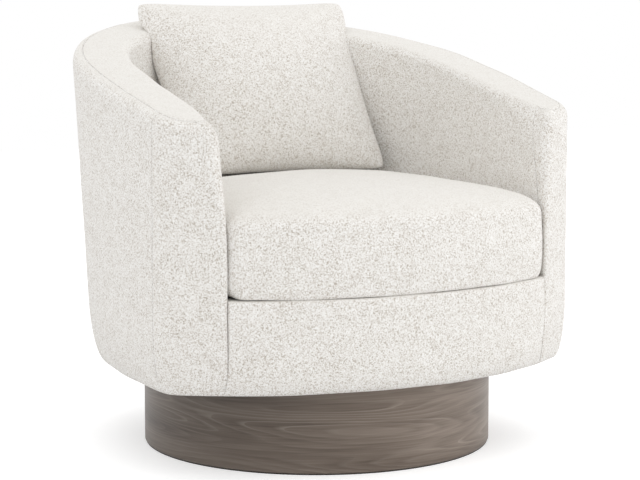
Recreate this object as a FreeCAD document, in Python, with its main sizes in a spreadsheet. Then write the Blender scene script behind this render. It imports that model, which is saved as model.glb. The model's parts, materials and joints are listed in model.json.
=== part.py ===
import FreeCAD, Part
import Sketcher
import math
import os

# Barrel swivel chair on a round timber plinth: a padded tub that turns on a ball-bearing plate.

Vector = FreeCAD.Vector
doc = FreeCAD.newDocument("swivel_chair")

# Driving dimensions, in millimetres unless the name says degrees or count.
# +Z is up, the chair faces -Y, and the swivel axis is the Z axis.
SIZES = {
    # plinth
    "drum_radius": 290.0,
    "drum_wall": 15.0,
    "drum_height": 132.0,
    "drum_edge": 1.5,
    "floor_pad_thick": 2.0,
    "floor_pad_width": 12.0,
    "top_board_thick": 18.0,
    "stiffener_width": 60.0,
    "stiffener_thick": 18.0,
    "stiffener_lift": 12.0,
    "block_count": 6.0,
    "block_side": 44.0,
    "block_height": 55.0,
    "board_screw_radius": 2.5,
    "board_screw_length": 62.0,
    "board_screw_head": 4.8,
    # swivel
    "plate_side": 200.0,
    "plate_thick": 6.0,
    "plate_gap": 2.2,
    "plate_corner": 12.5,
    "plate_hole_offset": 82.0,
    "race_radius": 66.0,
    "ball_radius": 4.0,
    "ball_play": 0.05,
    "ball_count": 24.0,
    "cage_thick": 1.4,
    "cage_width": 16.0,
    "cage_play": 0.15,
    "rivet_radius": 12.0,
    "rivet_head_radius": 20.0,
    "rivet_head_thick": 4.0,
    "rivet_bore_radius": 6.0,
    "running_play": 0.05,
    "head_gap": 0.3,
    "rivet_clearance_radius": 28.0,
    "wood_screw_radius": 2.5,
    "wood_screw_head": 5.0,
    "wood_screw_length": 18.0,
    "bolt_radius": 3.0,
    "bolt_head": 6.0,
    "tee_nut_radius": 4.2,
    "tee_nut_flange": 9.5,
    "tee_nut_flange_thick": 1.5,
    "tee_nut_barrel": 12.0,
    # outer outline of the tub, seen from above
    "body_bottom": 138.0,
    "top_level": 700.0,
    "corner_half_width": 374.0,
    "corner_radius": 55.0,
    "front_bow_rise": 133.1,
    "front_reach": 331.0,
    "side_radius_low": 1396.0,
    "side_radius_high": 1450.0,
    "back_ease": 14.0,
    "back_growth": 23.5,
    "back_reach_low": 404.0,
    "back_reach_high": 442.0,
    "hem_tuck": 12.0,
    "hem_height": 16.0,
    # rim of the tub: one tilted plane
    "rim_front_height": 561.0,
    "rim_back_height": 706.0,
    "rim_round": 18.0,
    # inside of the tub
    "arm_thick_low": 88.5,
    "arm_thick_high": 88.0,
    "seat_corner_ease": 8.0,
    "seat_side_radius": 1300.0,
    "back_thick_low": 102.0,
    "back_thick_high": 82.0,
    # layers
    "cover_thick": 2.5,
    "wadding_thick": 8.0,
    "fibreboard_thick": 2.0,
    "webbing_thick": 2.0,
    "inner_foam_thick": 33.0,
    "rim_pad_thick": 28.0,
    "soft_gap": 0.3,
    # timber frame
    "base_board_lift": 4.0,
    "base_board_thick": 18.0,
    "rib_thick": 22.0,
    "rib_count": 9.0,
    "rib_setback": 19.5,
    "top_rail_thick": 18.0,
    "seat_rail_top": 256.0,
    "seat_rail_thick": 18.0,
    "seat_rail_width": 22.0,
    "front_rail_thick": 22.0,
    "arm_front_depth": 136.0,
    "stump_cover": 12.5,
    # springs and deck
    "spring_count": 5.0,
    "spring_step": 92.0,
    "spring_wire_radius": 2.0,
    "spring_half_width": 25.0,
    "spring_bend_radius": 14.0,
    "clip_height": 6.0,
    "clip_width": 20.0,
    "clip_depth": 12.0,
    "tie_wire_radius": 1.5,
    "tie_wire_spread": 150.0,
    "deck_cloth_thick": 1.2,
    "deck_pad_thick": 17.0,
    "deck_edge_width": 46.0,
    "webbing_height": 52.0,
    "webbing_pitch": 84.0,
    "webbing_first": 318.0,
    "webbing_count": 4.0,
    "dust_cover_thick": 1.0,
    "dust_cover_hole": 160.0,
    # seat cushion
    "cushion_top": 447.0,
    "cushion_gap": 1.0,
    "cushion_corner": 34.0,
    "cushion_corner_growth": 0.25,
    "cushion_foot_round": 14.0,
    "cushion_crown": 50.0,
    "cushion_crown_inset": 130.0,
    "cushion_crown_power": 1.25,
    "cushion_crown_step": 5.0,
    "cushion_straight_least": 4.0,
    "cushion_cover_thick": 2.5,
    # pillow
    "pillow_width": 408.0,
    "pillow_height": 345.0,
    "pillow_thick": 150.0,
    "pillow_corner": 9.0,
    "pillow_waist": 10.0,
    "pillow_waist_fall": 1.6,
    "pillow_edge_power": 1.3,
    "pillow_edge_slope": 0.1,
    "pillow_shrink": 0.72,
    "pillow_shrink_power": 2.6,
    "pillow_face_round": 0.55,
    "pillow_lean_degrees": 30.0,
    "pillow_turn_degrees": 2.0,
    "pillow_side_shift": 24.0,
    "pillow_back_shift": 244.0,
    "pillow_centre_height": 580.0,
    "pillow_cover_thick": 2.5,
}

sheet = doc.addObject("Spreadsheet::Sheet", "sizes")
for row, (alias, number) in enumerate(SIZES.items(), start=1):
    sheet.set("A%d" % row, alias)
    sheet.set("B%d" % row, str(number))
    sheet.setAlias("B%d" % row, alias)
doc.recompute()


def size(alias):
    return float(sheet.get(alias))


def count(alias):
    return max(1, int(round(size(alias))))


# A solid smaller than this, in cubic millimetres, is a boolean's sliver, not a piece
SLIVER = 50.0

# A distance well past the chair on every side
REACH = 3 * size("back_reach_high")

kept = []


def keep(thing, label):
    thing.Label = label
    kept.append(thing)
    return thing


# Binds each named property of a document object to an expression on the size sheet
def bind(thing, places):
    for where, text in places.items():
        thing.setExpression(where, text)
    return thing


# Turns plain alias words into references to the size sheet
def cell(text):
    words = text.replace("(", " ( ").replace(")", " ) ").split()
    return " ".join("sizes." + w if w in SIZES else w for w in words)


def cylinder(name, radius, height, low, x="0", y="0"):
    thing = doc.addObject("Part::Cylinder", name)
    return bind(thing, {
        "Radius": cell(radius),
        "Height": cell(height),
        "Placement.Base.x": cell(x),
        "Placement.Base.y": cell(y),
        "Placement.Base.z": cell(low),
    })


def cut(name, base, tool):
    thing = doc.addObject("Part::Cut", name)
    thing.Base = base
    thing.Tool = tool
    return thing


def feature(label, shape):
    thing = doc.addObject("Part::Feature", label)
    thing.Shape = shape
    return keep(thing, label)


# Keeps the solids of a boolean's result, without the slivers it leaves along grazing faces
def solids_only(shape):
    found = [s for s in shape.Solids if s.Volume > SLIVER]
    found.sort(key=lambda s: -s.Volume)
    return found[0] if len(found) == 1 else Part.makeCompound(found)


# The space around the chair, or the part of it between the limits given
def space(left=-REACH, right=REACH, front=-REACH, back=REACH, low=-REACH, high=REACH):
    return Part.makeBox(right - left, back - front, high - low, Vector(left, front, low))


def slab(low, high):
    return space(low=low, high=high)


def round_bar(radius, length, x, y, z, direction=(0, 0, 1)):
    return Part.makeCylinder(radius, length, Vector(x, y, z), Vector(*direction))


# A countersunk screw: its flat head lies at z, and its shank runs away below or above it
def countersunk(radius, head, length, x, y, z, up=True):
    way = -1 if up else 1
    depth = head - radius
    cone = Part.makeCone(head, radius, depth, Vector(x, y, z), Vector(0, 0, way))
    shank = Part.makeCylinder(radius, length - depth, Vector(x, y, z + way * depth), Vector(0, 0, way))
    return cone.fuse(shank).removeSplitter()


# Heights that several pieces share
drum_top = size("floor_pad_thick") + size("drum_height")
board_low = size("body_bottom") + size("base_board_lift")
board_high = board_low + size("base_board_thick")
plate_stack = 2 * size("plate_thick") + size("plate_gap")
top_board_high = board_low - plate_stack
top_board_low = top_board_high - size("top_board_thick")
inner_drum = size("drum_radius") - size("drum_wall")

TOP_BOARD_HIGH = "( body_bottom + base_board_lift - 2 * plate_thick - plate_gap )"


# Floor pad: a felt ring stuck under the drum's rim
def make_floor_pad():
    outer = cylinder("pad_outer", "drum_radius - drum_edge", "floor_pad_thick", "0")
    inner = cylinder("pad_inner", "drum_radius - drum_edge - floor_pad_width", "floor_pad_thick", "0")
    keep(cut("floor_pad", outer, inner), "floor_pad")


# Drum: bent ply ring, a revolved wall with its edges eased
def make_drum():
    body = doc.addObject("PartDesign::Body", "plinth_drum")
    sketch = body.newObject("Sketcher::SketchObject", "drum_section")
    plane = [f for f in body.Origin.OriginFeatures if f.Role == "XZ_Plane"][0]
    sketch.AttachmentSupport = [(plane, "")]
    sketch.MapMode = "FlatFace"
    low, high = size("floor_pad_thick"), drum_top
    near, far = inner_drum, size("drum_radius")
    corners = [(near, low), (far, low), (far, high), (near, high)]
    for i in range(4):
        a, b = corners[i], corners[(i + 1) % 4]
        sketch.addGeometry(Part.LineSegment(Vector(a[0], a[1], 0), Vector(b[0], b[1], 0)))
    for i in range(4):
        sketch.addConstraint(Sketcher.Constraint("Coincident", i, 2, (i + 1) % 4, 1))
    for i, kind in enumerate(("Horizontal", "Vertical", "Horizontal", "Vertical")):
        sketch.addConstraint(Sketcher.Constraint(kind, i))
    dims = [
        ("DistanceX", (-1, 1, 0, 1), near, "drum_radius - drum_wall"),
        ("DistanceX", (-1, 1, 0, 2), far, "drum_radius"),
        ("DistanceY", (-1, 1, 0, 1), low, "floor_pad_thick"),
        ("DistanceY", (0, 2, 1, 2), high - low, "drum_height"),
    ]
    for kind, place, number, text in dims:
        index = sketch.addConstraint(Sketcher.Constraint(kind, *place, number))
        sketch.setExpression("Constraints[%d]" % index, cell(text))
    turn = body.newObject("PartDesign::Revolution", "drum_turn")
    turn.Profile = sketch
    turn.ReferenceAxis = (sketch, ["V_Axis"])
    turn.Angle = 360.0
    doc.recompute()
    ease = body.newObject("PartDesign::Chamfer", "drum_ease")
    rims = []
    for i, edge in enumerate(turn.Shape.Edges, start=1):
        if abs(edge.Length - 2 * math.pi * far) < 1.0 and len(edge.Vertexes) == 1:
            rims.append("Edge%d" % i)
    ease.Base = (turn, rims)
    ease.setExpression("Size", cell("drum_edge"))
    body.Tip = ease
    keep(body, "plinth_drum")


# Stiffener: a flat ply ring glued inside the drum near the floor
def make_stiffener():
    low = "floor_pad_thick + stiffener_lift"
    outer = cylinder("stiff_outer", "drum_radius - drum_wall", "stiffener_thick", low)
    inner = cylinder("stiff_inner", "drum_radius - drum_wall - stiffener_width", "stiffener_thick", low)
    keep(cut("plinth_stiffener", outer, inner), "plinth_stiffener")


# Places on a circle, as x, y and the angle in degrees
def around(number, radius):
    for i in range(number):
        angle = 360.0 * i / number
        yield radius * math.cos(math.radians(angle)), radius * math.sin(math.radians(angle)), angle


def plate_corners():
    reach = size("plate_hole_offset")
    return [(sx * reach, sy * reach) for sx in (-1, 1) for sy in (-1, 1)]


# Top board: the disc that carries the swivel, with a hole for the rivet's lower head
def make_top_board():
    screws = []
    for x, y, angle in around(count("block_count"), inner_drum - size("block_side") / 2):
        screws.append(board_screw(x, y))
    for x, y in plate_corners():
        screws.append(wood_screw(x, y))
    disc = cylinder("board_disc", "drum_radius - drum_wall", "top_board_thick",
                    TOP_BOARD_HIGH + " - top_board_thick")
    hole = cylinder("board_hole", "rivet_clearance_radius", "top_board_thick",
                    TOP_BOARD_HIGH + " - top_board_thick")
    holes = doc.addObject("Part::Feature", "board_screw_holes")
    holes.Shape = Part.makeCompound(screws)
    pierced = cut("board_pierced", disc, hole)
    keep(cut("plinth_top_board", pierced, holes), "plinth_top_board")


# A long screw driven up through a glue block into the top board
def board_screw(x, y):
    low = top_board_low - size("block_height")
    return countersunk(size("board_screw_radius"), size("board_screw_head"),
                       size("board_screw_length"), x, y, low, up=False)


# A countersunk screw through the lower plate into the top board
def wood_screw(x, y):
    return countersunk(size("wood_screw_radius"), size("wood_screw_head"),
                       size("wood_screw_length"), x, y, top_board_high + size("plate_thick"))


# A countersunk bolt up through the upper plate and the base board
def plate_bolt(x, y):
    low = board_low - size("plate_thick")
    length = size("plate_thick") + size("base_board_thick") + size("tee_nut_flange_thick")
    return countersunk(size("bolt_radius"), size("bolt_head"), length, x, y, low, up=False)


# Glue blocks: square timbers in the angle between drum and top board
def make_blocks():
    side, high = size("block_side"), size("block_height")
    low = top_board_low - high
    wall = Part.makeCylinder(inner_drum, high, Vector(0, 0, low))
    blocks, screws = [], []
    for x, y, angle in around(count("block_count"), inner_drum - side / 2):
        block = Part.makeBox(2 * side, side, high, Vector(-side / 2, -side / 2, low))
        block.rotate(Vector(0, 0, 0), Vector(0, 0, 1), angle)
        block.translate(Vector(x, y, 0))
        blocks.append(block.common(wall).cut(board_screw(x, y)))
        screws.append(board_screw(x, y))
    feature("plinth_glue_blocks", Part.makeCompound([b.Solids[0] for b in blocks]))
    feature("plinth_board_screws", Part.makeCompound(screws))


# Swivel: two square plates with a ball race between them, held by one hollow rivet
def plate_blank(low):
    side = size("plate_side")
    blank = Part.makeBox(side, side, size("plate_thick"), Vector(-side / 2, -side / 2, low))
    upright = [e for e in blank.Edges if abs(e.Length - size("plate_thick")) < 1e-6]
    return blank.makeFillet(size("plate_corner"), upright)


def race():
    level = board_low - size("plate_thick") - size("plate_gap") / 2
    groove = size("ball_radius") + size("ball_play")
    return Part.makeTorus(size("race_radius"), groove, Vector(0, 0, level)), level


def make_swivel():
    groove, level = race()
    lower = plate_blank(top_board_high).cut(groove)
    lower = lower.cut(round_bar(size("rivet_radius"), size("plate_thick"), 0, 0, top_board_high))
    screws = [wood_screw(x, y) for x, y in plate_corners()]
    lower = lower.cut(Part.makeCompound(screws))
    feature("lower_swivel_plate", solids_only(lower))
    feature("lower_plate_screws", Part.makeCompound(screws))

    upper_low = board_low - size("plate_thick")
    upper = plate_blank(upper_low).cut(groove)
    loose = size("rivet_radius") + size("running_play")
    upper = upper.cut(round_bar(loose, size("plate_thick"), 0, 0, upper_low))
    bolts = [plate_bolt(x, y) for x, y in plate_corners()]
    upper = upper.cut(Part.makeCompound(bolts))
    feature("upper_swivel_plate", solids_only(upper))
    feature("upper_plate_bolts", Part.makeCompound(bolts))

    nuts = []
    for x, y in plate_corners():
        flange = round_bar(size("tee_nut_flange"), size("tee_nut_flange_thick"), x, y, board_high)
        barrel = round_bar(size("tee_nut_radius"), size("tee_nut_barrel"),
                           x, y, board_high - size("tee_nut_barrel"))
        nuts.append(flange.fuse(barrel).cut(plate_bolt(x, y)).removeSplitter())
    feature("tee_nuts", Part.makeCompound(nuts))

    head = size("rivet_head_thick")
    foot = round_bar(size("rivet_head_radius"), head, 0, 0, top_board_high - head)
    shank_length = plate_stack + 2 * head + size("head_gap")
    shank = round_bar(size("rivet_radius"), shank_length, 0, 0, top_board_high - head)
    cap = round_bar(size("rivet_head_radius"), head, 0, 0, board_low + size("head_gap"))
    bore = round_bar(size("rivet_bore_radius"), shank_length, 0, 0, top_board_high - head)
    feature("swivel_rivet", foot.fuse([shank, cap]).cut(bore).removeSplitter())

    ring = Part.makeCylinder(size("race_radius") + size("cage_width") / 2, size("cage_thick"),
                             Vector(0, 0, level - size("cage_thick") / 2))
    hole = Part.makeCylinder(size("race_radius") - size("cage_width") / 2, size("cage_thick"),
                             Vector(0, 0, level - size("cage_thick") / 2))
    ring = ring.cut(hole)
    balls, pockets = [], []
    for x, y, angle in around(count("ball_count"), size("race_radius")):
        balls.append(Part.makeSphere(size("ball_radius"), Vector(x, y, level)))
        pocket = size("ball_radius") + size("cage_play")
        pockets.append(round_bar(pocket, size("cage_thick"), x, y, level - size("cage_thick") / 2))
    feature("ball_cage", solids_only(ring.cut(Part.makeCompound(pockets))))
    feature("bearing_balls", Part.makeCompound(balls))


def arc(first, middle, last):
    return Part.Arc(Vector(*first), Vector(*middle), Vector(*last)).toShape()


def mix(low, high, part):
    return low + (high - low) * part


def level_part(z):
    return (z - size("body_bottom")) / (size("top_level") - size("body_bottom"))


# The front bow: an arc over the full width, its rise measured at the middle
bow_radius = (size("corner_half_width") ** 2 + size("front_bow_rise") ** 2) / (2 * size("front_bow_rise"))
bow_centre = bow_radius - size("front_reach")


# Outer outline: front bow, two small corners, two long sides and one back arc, all tangent.
# The side circle touches the corner circle and the back circle from outside them.
def outer_wire(inset, z):
    part = level_part(z)
    corner, bow = size("corner_radius"), bow_radius
    side = mix(size("side_radius_low"), size("side_radius_high"), part)
    back = size("corner_half_width") - size("back_ease") + size("back_growth") * part
    reach = mix(size("back_reach_low"), size("back_reach_high"), part)
    corner_x = size("corner_half_width") - corner
    lean = math.asin(corner_x / (bow - corner))
    corner_y = bow_centre - (bow - corner) * math.cos(lean)
    back_y = reach - back
    gap_x, gap_y = corner_x, corner_y - back_y
    apart = math.hypot(gap_x, gap_y)
    to_back, to_corner = side - back, side - corner
    along = (to_back ** 2 - to_corner ** 2 + apart ** 2) / (2 * apart)
    aside = math.sqrt(to_back ** 2 - along ** 2)
    side_x, side_y = min(
        ((along * gap_x + way * aside * gap_y) / apart, back_y + (along * gap_y - way * aside * gap_x) / apart)
        for way in (1, -1))
    start = math.atan2(corner_y - side_y, corner_x - side_x)
    end = math.atan2(back_y - side_y, 0 - side_x)

    def on_bow(turn):
        return ((bow - inset) * math.sin(turn), bow_centre - (bow - inset) * math.cos(turn), z)

    def on_corner(turn, hand):
        return (hand * (corner_x + (corner - inset) * math.cos(turn)),
                corner_y + (corner - inset) * math.sin(turn), z)

    def on_side(turn, hand):
        return (hand * (side_x + (side - inset) * math.cos(turn)),
                side_y + (side - inset) * math.sin(turn), z)

    def on_back(turn):
        return ((back - inset) * math.cos(turn), back_y + (back - inset) * math.sin(turn), z)

    first = lean - math.pi / 2
    half, mid = (start + end) / 2, (first + start) / 2
    return Part.Wire([
        arc(on_bow(-lean), on_bow(0), on_bow(lean)),
        arc(on_corner(first, 1), on_corner(mid, 1), on_corner(start, 1)),
        arc(on_side(start, 1), on_side(half, 1), on_side(end, 1)),
        arc(on_back(end), on_back(math.pi / 2), on_back(math.pi - end)),
        arc(on_side(end, -1), on_side(half, -1), on_side(start, -1)),
        arc(on_corner(start, -1), on_corner(mid, -1), on_corner(first, -1)),
    ])


# Heights and insets of a quarter-round lower edge, from its underside up
def rolled_edge(low, tuck, rise, steps=2):
    for i in range(steps + 1):
        turn = math.pi / 2 * i / steps
        yield low + rise * (1 - math.cos(turn)), tuck * (1 - math.sin(turn))


# The tub as one raked block, each layer an even inset from the outside; the hem rolls under
def tub(inset):
    levels = list(rolled_edge(size("body_bottom"), size("hem_tuck"), size("hem_height")))
    levels.append((size("rim_back_height") + size("hem_height"), 0))
    return Part.makeLoft([outer_wire(inset + more, z) for z, more in levels], True, True)


# Inside outline: straight arms and a rounded back, open past the front
def seat_outline(z):
    part = level_part(z)
    wide = size("corner_half_width") - mix(size("arm_thick_low"), size("arm_thick_high"), part)
    back = wide - size("seat_corner_ease")
    reach = mix(size("back_reach_low") - size("back_thick_low"),
                size("back_reach_high") - size("back_thick_high"), part)
    side = size("seat_side_radius")
    side_x = wide - side
    back_y = reach - back
    turn = math.acos((side - wide) / (side - back))
    side_y = back_y - (side - back) * math.sin(turn)
    return wide, back, side, side_x, side_y, back_y, turn


def inner_wire(grow, z):
    wide, back, side, side_x, side_y, back_y, turn = seat_outline(z)
    front = -REACH / 2

    def on_side(angle, hand):
        return (hand * (side_x + (side + grow) * math.cos(angle)),
                side_y + (side + grow) * math.sin(angle), z)

    def on_back(angle):
        return ((back + grow) * math.cos(angle), back_y + (back + grow) * math.sin(angle), z)

    right, left = (wide + grow, front, z), (-wide - grow, front, z)
    return Part.Wire([
        Part.LineSegment(Vector(*right), Vector(*on_side(0, 1))).toShape(),
        arc(on_side(0, 1), on_side(turn / 2, 1), on_side(turn, 1)),
        arc(on_back(turn), on_back(math.pi / 2), on_back(math.pi - turn)),
        arc(on_side(turn, -1), on_side(turn / 2, -1), on_side(0, -1)),
        Part.LineSegment(Vector(*on_side(0, -1)), Vector(*left)).toShape(),
        Part.LineSegment(Vector(*left), Vector(*right)).toShape(),
    ])


def hollow(grow):
    low = size("body_bottom") - size("hem_height")
    high = size("rim_back_height") + 2 * size("hem_height")
    return Part.makeLoft([inner_wire(grow, low), inner_wire(grow, high)], True, True)


# Rim plane: it climbs from the arm fronts to the back
rim_front_y = size("front_bow_rise") - size("front_reach")
rim_slope = ((size("rim_back_height") - size("rim_front_height"))
             / (size("back_reach_high") - rim_front_y))
rim_normal = Vector(0, -rim_slope, 1).normalize()


def rim_height(y, depth):
    return (size("rim_front_height") + rim_slope * (y - rim_front_y)
            - depth * math.sqrt(1 + rim_slope ** 2))


def below_rim(depth, low=0.0):
    points = [
        Vector(-REACH, -REACH, low),
        Vector(-REACH, REACH, low),
        Vector(-REACH, REACH, rim_height(REACH, depth)),
        Vector(-REACH, -REACH, rim_height(-REACH, depth)),
    ]
    return Part.Face(Part.makePolygon(points + points[:1])).extrude(Vector(2 * REACH, 0, 0))


def above_rim(depth):
    return slab(0, REACH).cut(below_rim(depth))


# The edges of a shape that lie in the rim plane, the front ends of the arms included
def rim_edges(shape, depth):
    on_plane = Vector(0, rim_front_y, rim_height(rim_front_y, depth))
    found = []
    for edge in shape.Edges:
        span = edge.LastParameter - edge.FirstParameter
        points = [edge.valueAt(edge.FirstParameter + span * k / 4) for k in range(5)]
        if max(abs((p - on_plane).dot(rim_normal)) for p in points) < 0.01:
            found.append(edge)
    return found


# The padded wall: a C in plan with a rounded rim
def wall(depth):
    raw = solids_only(tub(depth).common(below_rim(depth)).cut(hollow(depth)))
    return raw.makeFillet(size("rim_round") - depth, rim_edges(raw, depth))


t_cover = size("cover_thick")
t_wadding = t_cover + size("wadding_thick")
t_board = t_wadding + size("fibreboard_thick")
t_foam = t_cover + size("inner_foam_thick")
t_web = t_foam + size("webbing_thick")
rail_top = t_cover + size("rim_pad_thick")
rail_low = rail_top + size("top_rail_thick")
stump_y = size("arm_front_depth") - size("front_reach")
deck_low = size("seat_rail_top") + size("clip_height") + size("soft_gap")
pad_low = deck_low + size("deck_cloth_thick") + size("soft_gap")
pad_high = pad_low + size("deck_pad_thick")
deck_cover_low = pad_high + size("soft_gap")
deck_high = deck_cover_low + t_cover


tub_cover = tub(0)
tub_soft = tub(t_cover)
tub_wood = tub(t_wadding)
tub_rib = tub(t_board)
wall_cover = wall(0)
wall_soft = wall(t_cover)


# Timber frame: base board, ribs, two curved rails, arm stumps and the front rail
def make_frame():
    stump_inner = hollow(size("stump_cover"))
    base = tub_wood.common(slab(board_low, board_high))
    base = base.cut(round_bar(size("rivet_clearance_radius"), size("base_board_thick"), 0, 0, board_low))
    for x, y in plate_corners():
        base = base.cut(plate_bolt(x, y))
        base = base.cut(round_bar(size("tee_nut_radius"), size("tee_nut_barrel"),
                                  x, y, board_high - size("tee_nut_barrel")))
    feature("frame_base_board", solids_only(base))

    below_top_rail = below_rim(rail_low, board_high)
    stumps = tub_wood.common(space(back=stump_y)).common(below_top_rail).cut(stump_inner)
    stumps = stumps.common(space(low=board_high))
    feature("arm_stump_left", solids_only(stumps.common(space(right=0))))
    feature("arm_stump_right", solids_only(stumps.common(space(left=0))))

    zone = tub_rib.common(space(front=stump_y)).cut(hollow(t_web))
    top_rail = zone.common(below_rim(rail_top)).cut(below_rim(rail_low))
    feature("frame_top_rail", solids_only(top_rail))

    rail_high = size("seat_rail_top")
    rail_zone = zone.common(hollow(t_web + size("seat_rail_width")))
    rail_under = rail_high - size("seat_rail_thick")
    feature("frame_seat_rail", solids_only(rail_zone.common(slab(rail_under, rail_high))))

    # Each rib is notched over the seat rail and its spring clips
    ribs = []
    notch = rail_zone.common(slab(rail_under, deck_low))
    rib_zone = zone.common(below_top_rail).cut(slab(0, board_high)).cut(notch)
    thick = size("rib_thick")
    arm_middle = size("corner_half_width") - size("arm_thick_low") / 2
    first = math.degrees(math.atan2(stump_y + size("rib_setback"), arm_middle))
    number = count("rib_count")
    for i in range(number):
        angle = mix(first, 180.0 - first, i / max(1, number - 1))
        blade = space(left=0, front=-thick / 2, back=thick / 2)
        blade.rotate(Vector(0, 0, 0), Vector(0, 0, 1), angle)
        ribs.append(max(rib_zone.common(blade).Solids, key=lambda s: s.Volume))
    feature("frame_ribs", Part.makeCompound(ribs))

    front = tub_wood.cut(tub(t_wadding + size("front_rail_thick")))
    front = front.common(slab(board_high, rail_high)).common(space(back=stump_y)).common(stump_inner)
    feature("frame_front_rail", solids_only(front))


# A flat zigzag wire: straight bars across, half circles between them and a lead at each end
def spring_wire(x, front, back, level):
    bend, half = size("spring_bend_radius"), size("spring_half_width")
    turn = bend / 2
    bars = int((back - front - 2 * size("clip_depth")) / (2 * bend)) + 1
    start = (front + back) / 2 - bend * (bars - 1)
    edges = []

    def line(x0, y0, x1, y1):
        edges.append(Part.LineSegment(Vector(x0, y0, level), Vector(x1, y1, level)).toShape())

    def swing(centre_x, centre_y, radius, first, last):
        spots = []
        for degrees in (first, (first + last) / 2, last):
            angle = math.radians(degrees)
            spots.append((centre_x + radius * math.cos(angle), centre_y + radius * math.sin(angle), level))
        edges.append(arc(*spots))

    line(x, front, x, start - turn)
    swing(x + turn, start - turn, turn, 180, 90)
    here, hand = x + turn, 1
    for i in range(bars - 1):
        y = start + 2 * bend * i
        there = x + hand * (half - bend)
        line(here, y, there, y)
        swing(there, y + bend, bend, -90, 90 if hand > 0 else -270)
        here, hand = there, -hand
    y = start + 2 * bend * (bars - 1)
    there = x - hand * turn
    line(here, y, there, y)
    swing(there, y + turn, turn, -90, 0 if hand > 0 else -180)
    line(x, y + turn, x, back)
    section = Part.makeCircle(size("spring_wire_radius"), Vector(x, front, level), Vector(0, 1, 0))
    return Part.Wire(edges).makePipeShell([Part.Wire(section)], True, False)


# Zigzag springs from the front rail to the seat rail, their clips and two tie wires
def make_springs():
    radius, depth = size("spring_wire_radius"), size("clip_depth")
    rail_high = size("seat_rail_top")
    level = rail_high + radius
    number, step = count("spring_count"), size("spring_step")
    reach = bow_radius - t_wadding - size("front_rail_thick") / 2
    wide, round_back, side, side_x, side_y, back_y, turn = seat_outline(rail_high)
    back_reach = round_back + t_web + size("seat_rail_width") / 2
    springs, clips = [], []
    for i in range(number):
        x = step * (i - (number - 1) / 2.0)
        front = bow_centre - math.sqrt(reach ** 2 - x ** 2)
        back = back_y + math.sqrt(back_reach ** 2 - x ** 2)
        springs.append(spring_wire(x, front, back, level))
        for y in (front, back):
            half = size("clip_width") / 2
            clip = space(x - half, x + half, y - depth / 2, y + depth / 2,
                         rail_high, rail_high + size("clip_height"))
            slot = round_bar(radius, 2 * depth, x, y - depth, level, (0, 1, 0))
            mouth = space(x - radius, x + radius, y - depth, y + depth, rail_high, level)
            clips.append(clip.cut(slot).cut(mouth))
    feature("seat_springs", Part.makeCompound(springs))
    feature("spring_clips", Part.makeCompound(clips))
    ties = []
    wire = size("tie_wire_radius")
    side_reach = step * (number - 1) / 2.0 + size("spring_half_width")
    for y in (-size("tie_wire_spread") / 2, size("tie_wire_spread") / 2):
        ties.append(round_bar(wire, 2 * side_reach, -side_reach, y, rail_high - wire, (1, 0, 0)))
    feature("spring_tie_wires", Part.makeCompound(ties))


# Everything behind the front bow, moved back by the inset
def front_disc(inset):
    return round_bar(bow_radius - inset, REACH, 0, bow_centre, 0)


# Deck under the cushion: cloth over the springs, a foam pad and its cover
def make_deck():
    gap = size("soft_gap")
    inside = hollow(-gap)
    cloth = tub_wood.common(inside).common(slab(deck_low, deck_low + size("deck_cloth_thick")))
    feature("deck_cloth", solids_only(cloth))
    deck = inside.common(front_disc(t_wadding + size("deck_edge_width")))
    feature("deck_pad", solids_only(deck.common(slab(pad_low, pad_high))))
    feature("deck_cover", solids_only(deck.common(slab(deck_cover_low, deck_high))))


# Padding and cover of the front rail, between the arms
def make_front():
    gap = size("soft_gap")
    inside = hollow(-gap)
    rear = front_disc(t_wadding + size("deck_edge_width") - gap)
    padded = tub_soft.common(inside).common(slab(size("body_bottom"), pad_high))
    padded = padded.cut(tub_wood.common(slab(0, pad_low))).cut(rear)
    feature("front_rail_pad", solids_only(padded))
    skin = tub_cover.common(inside).common(slab(size("body_bottom"), deck_high))
    skin = skin.cut(tub_soft.common(slab(0, deck_cover_low))).cut(rear)
    feature("front_rail_cover", solids_only(skin))


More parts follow.
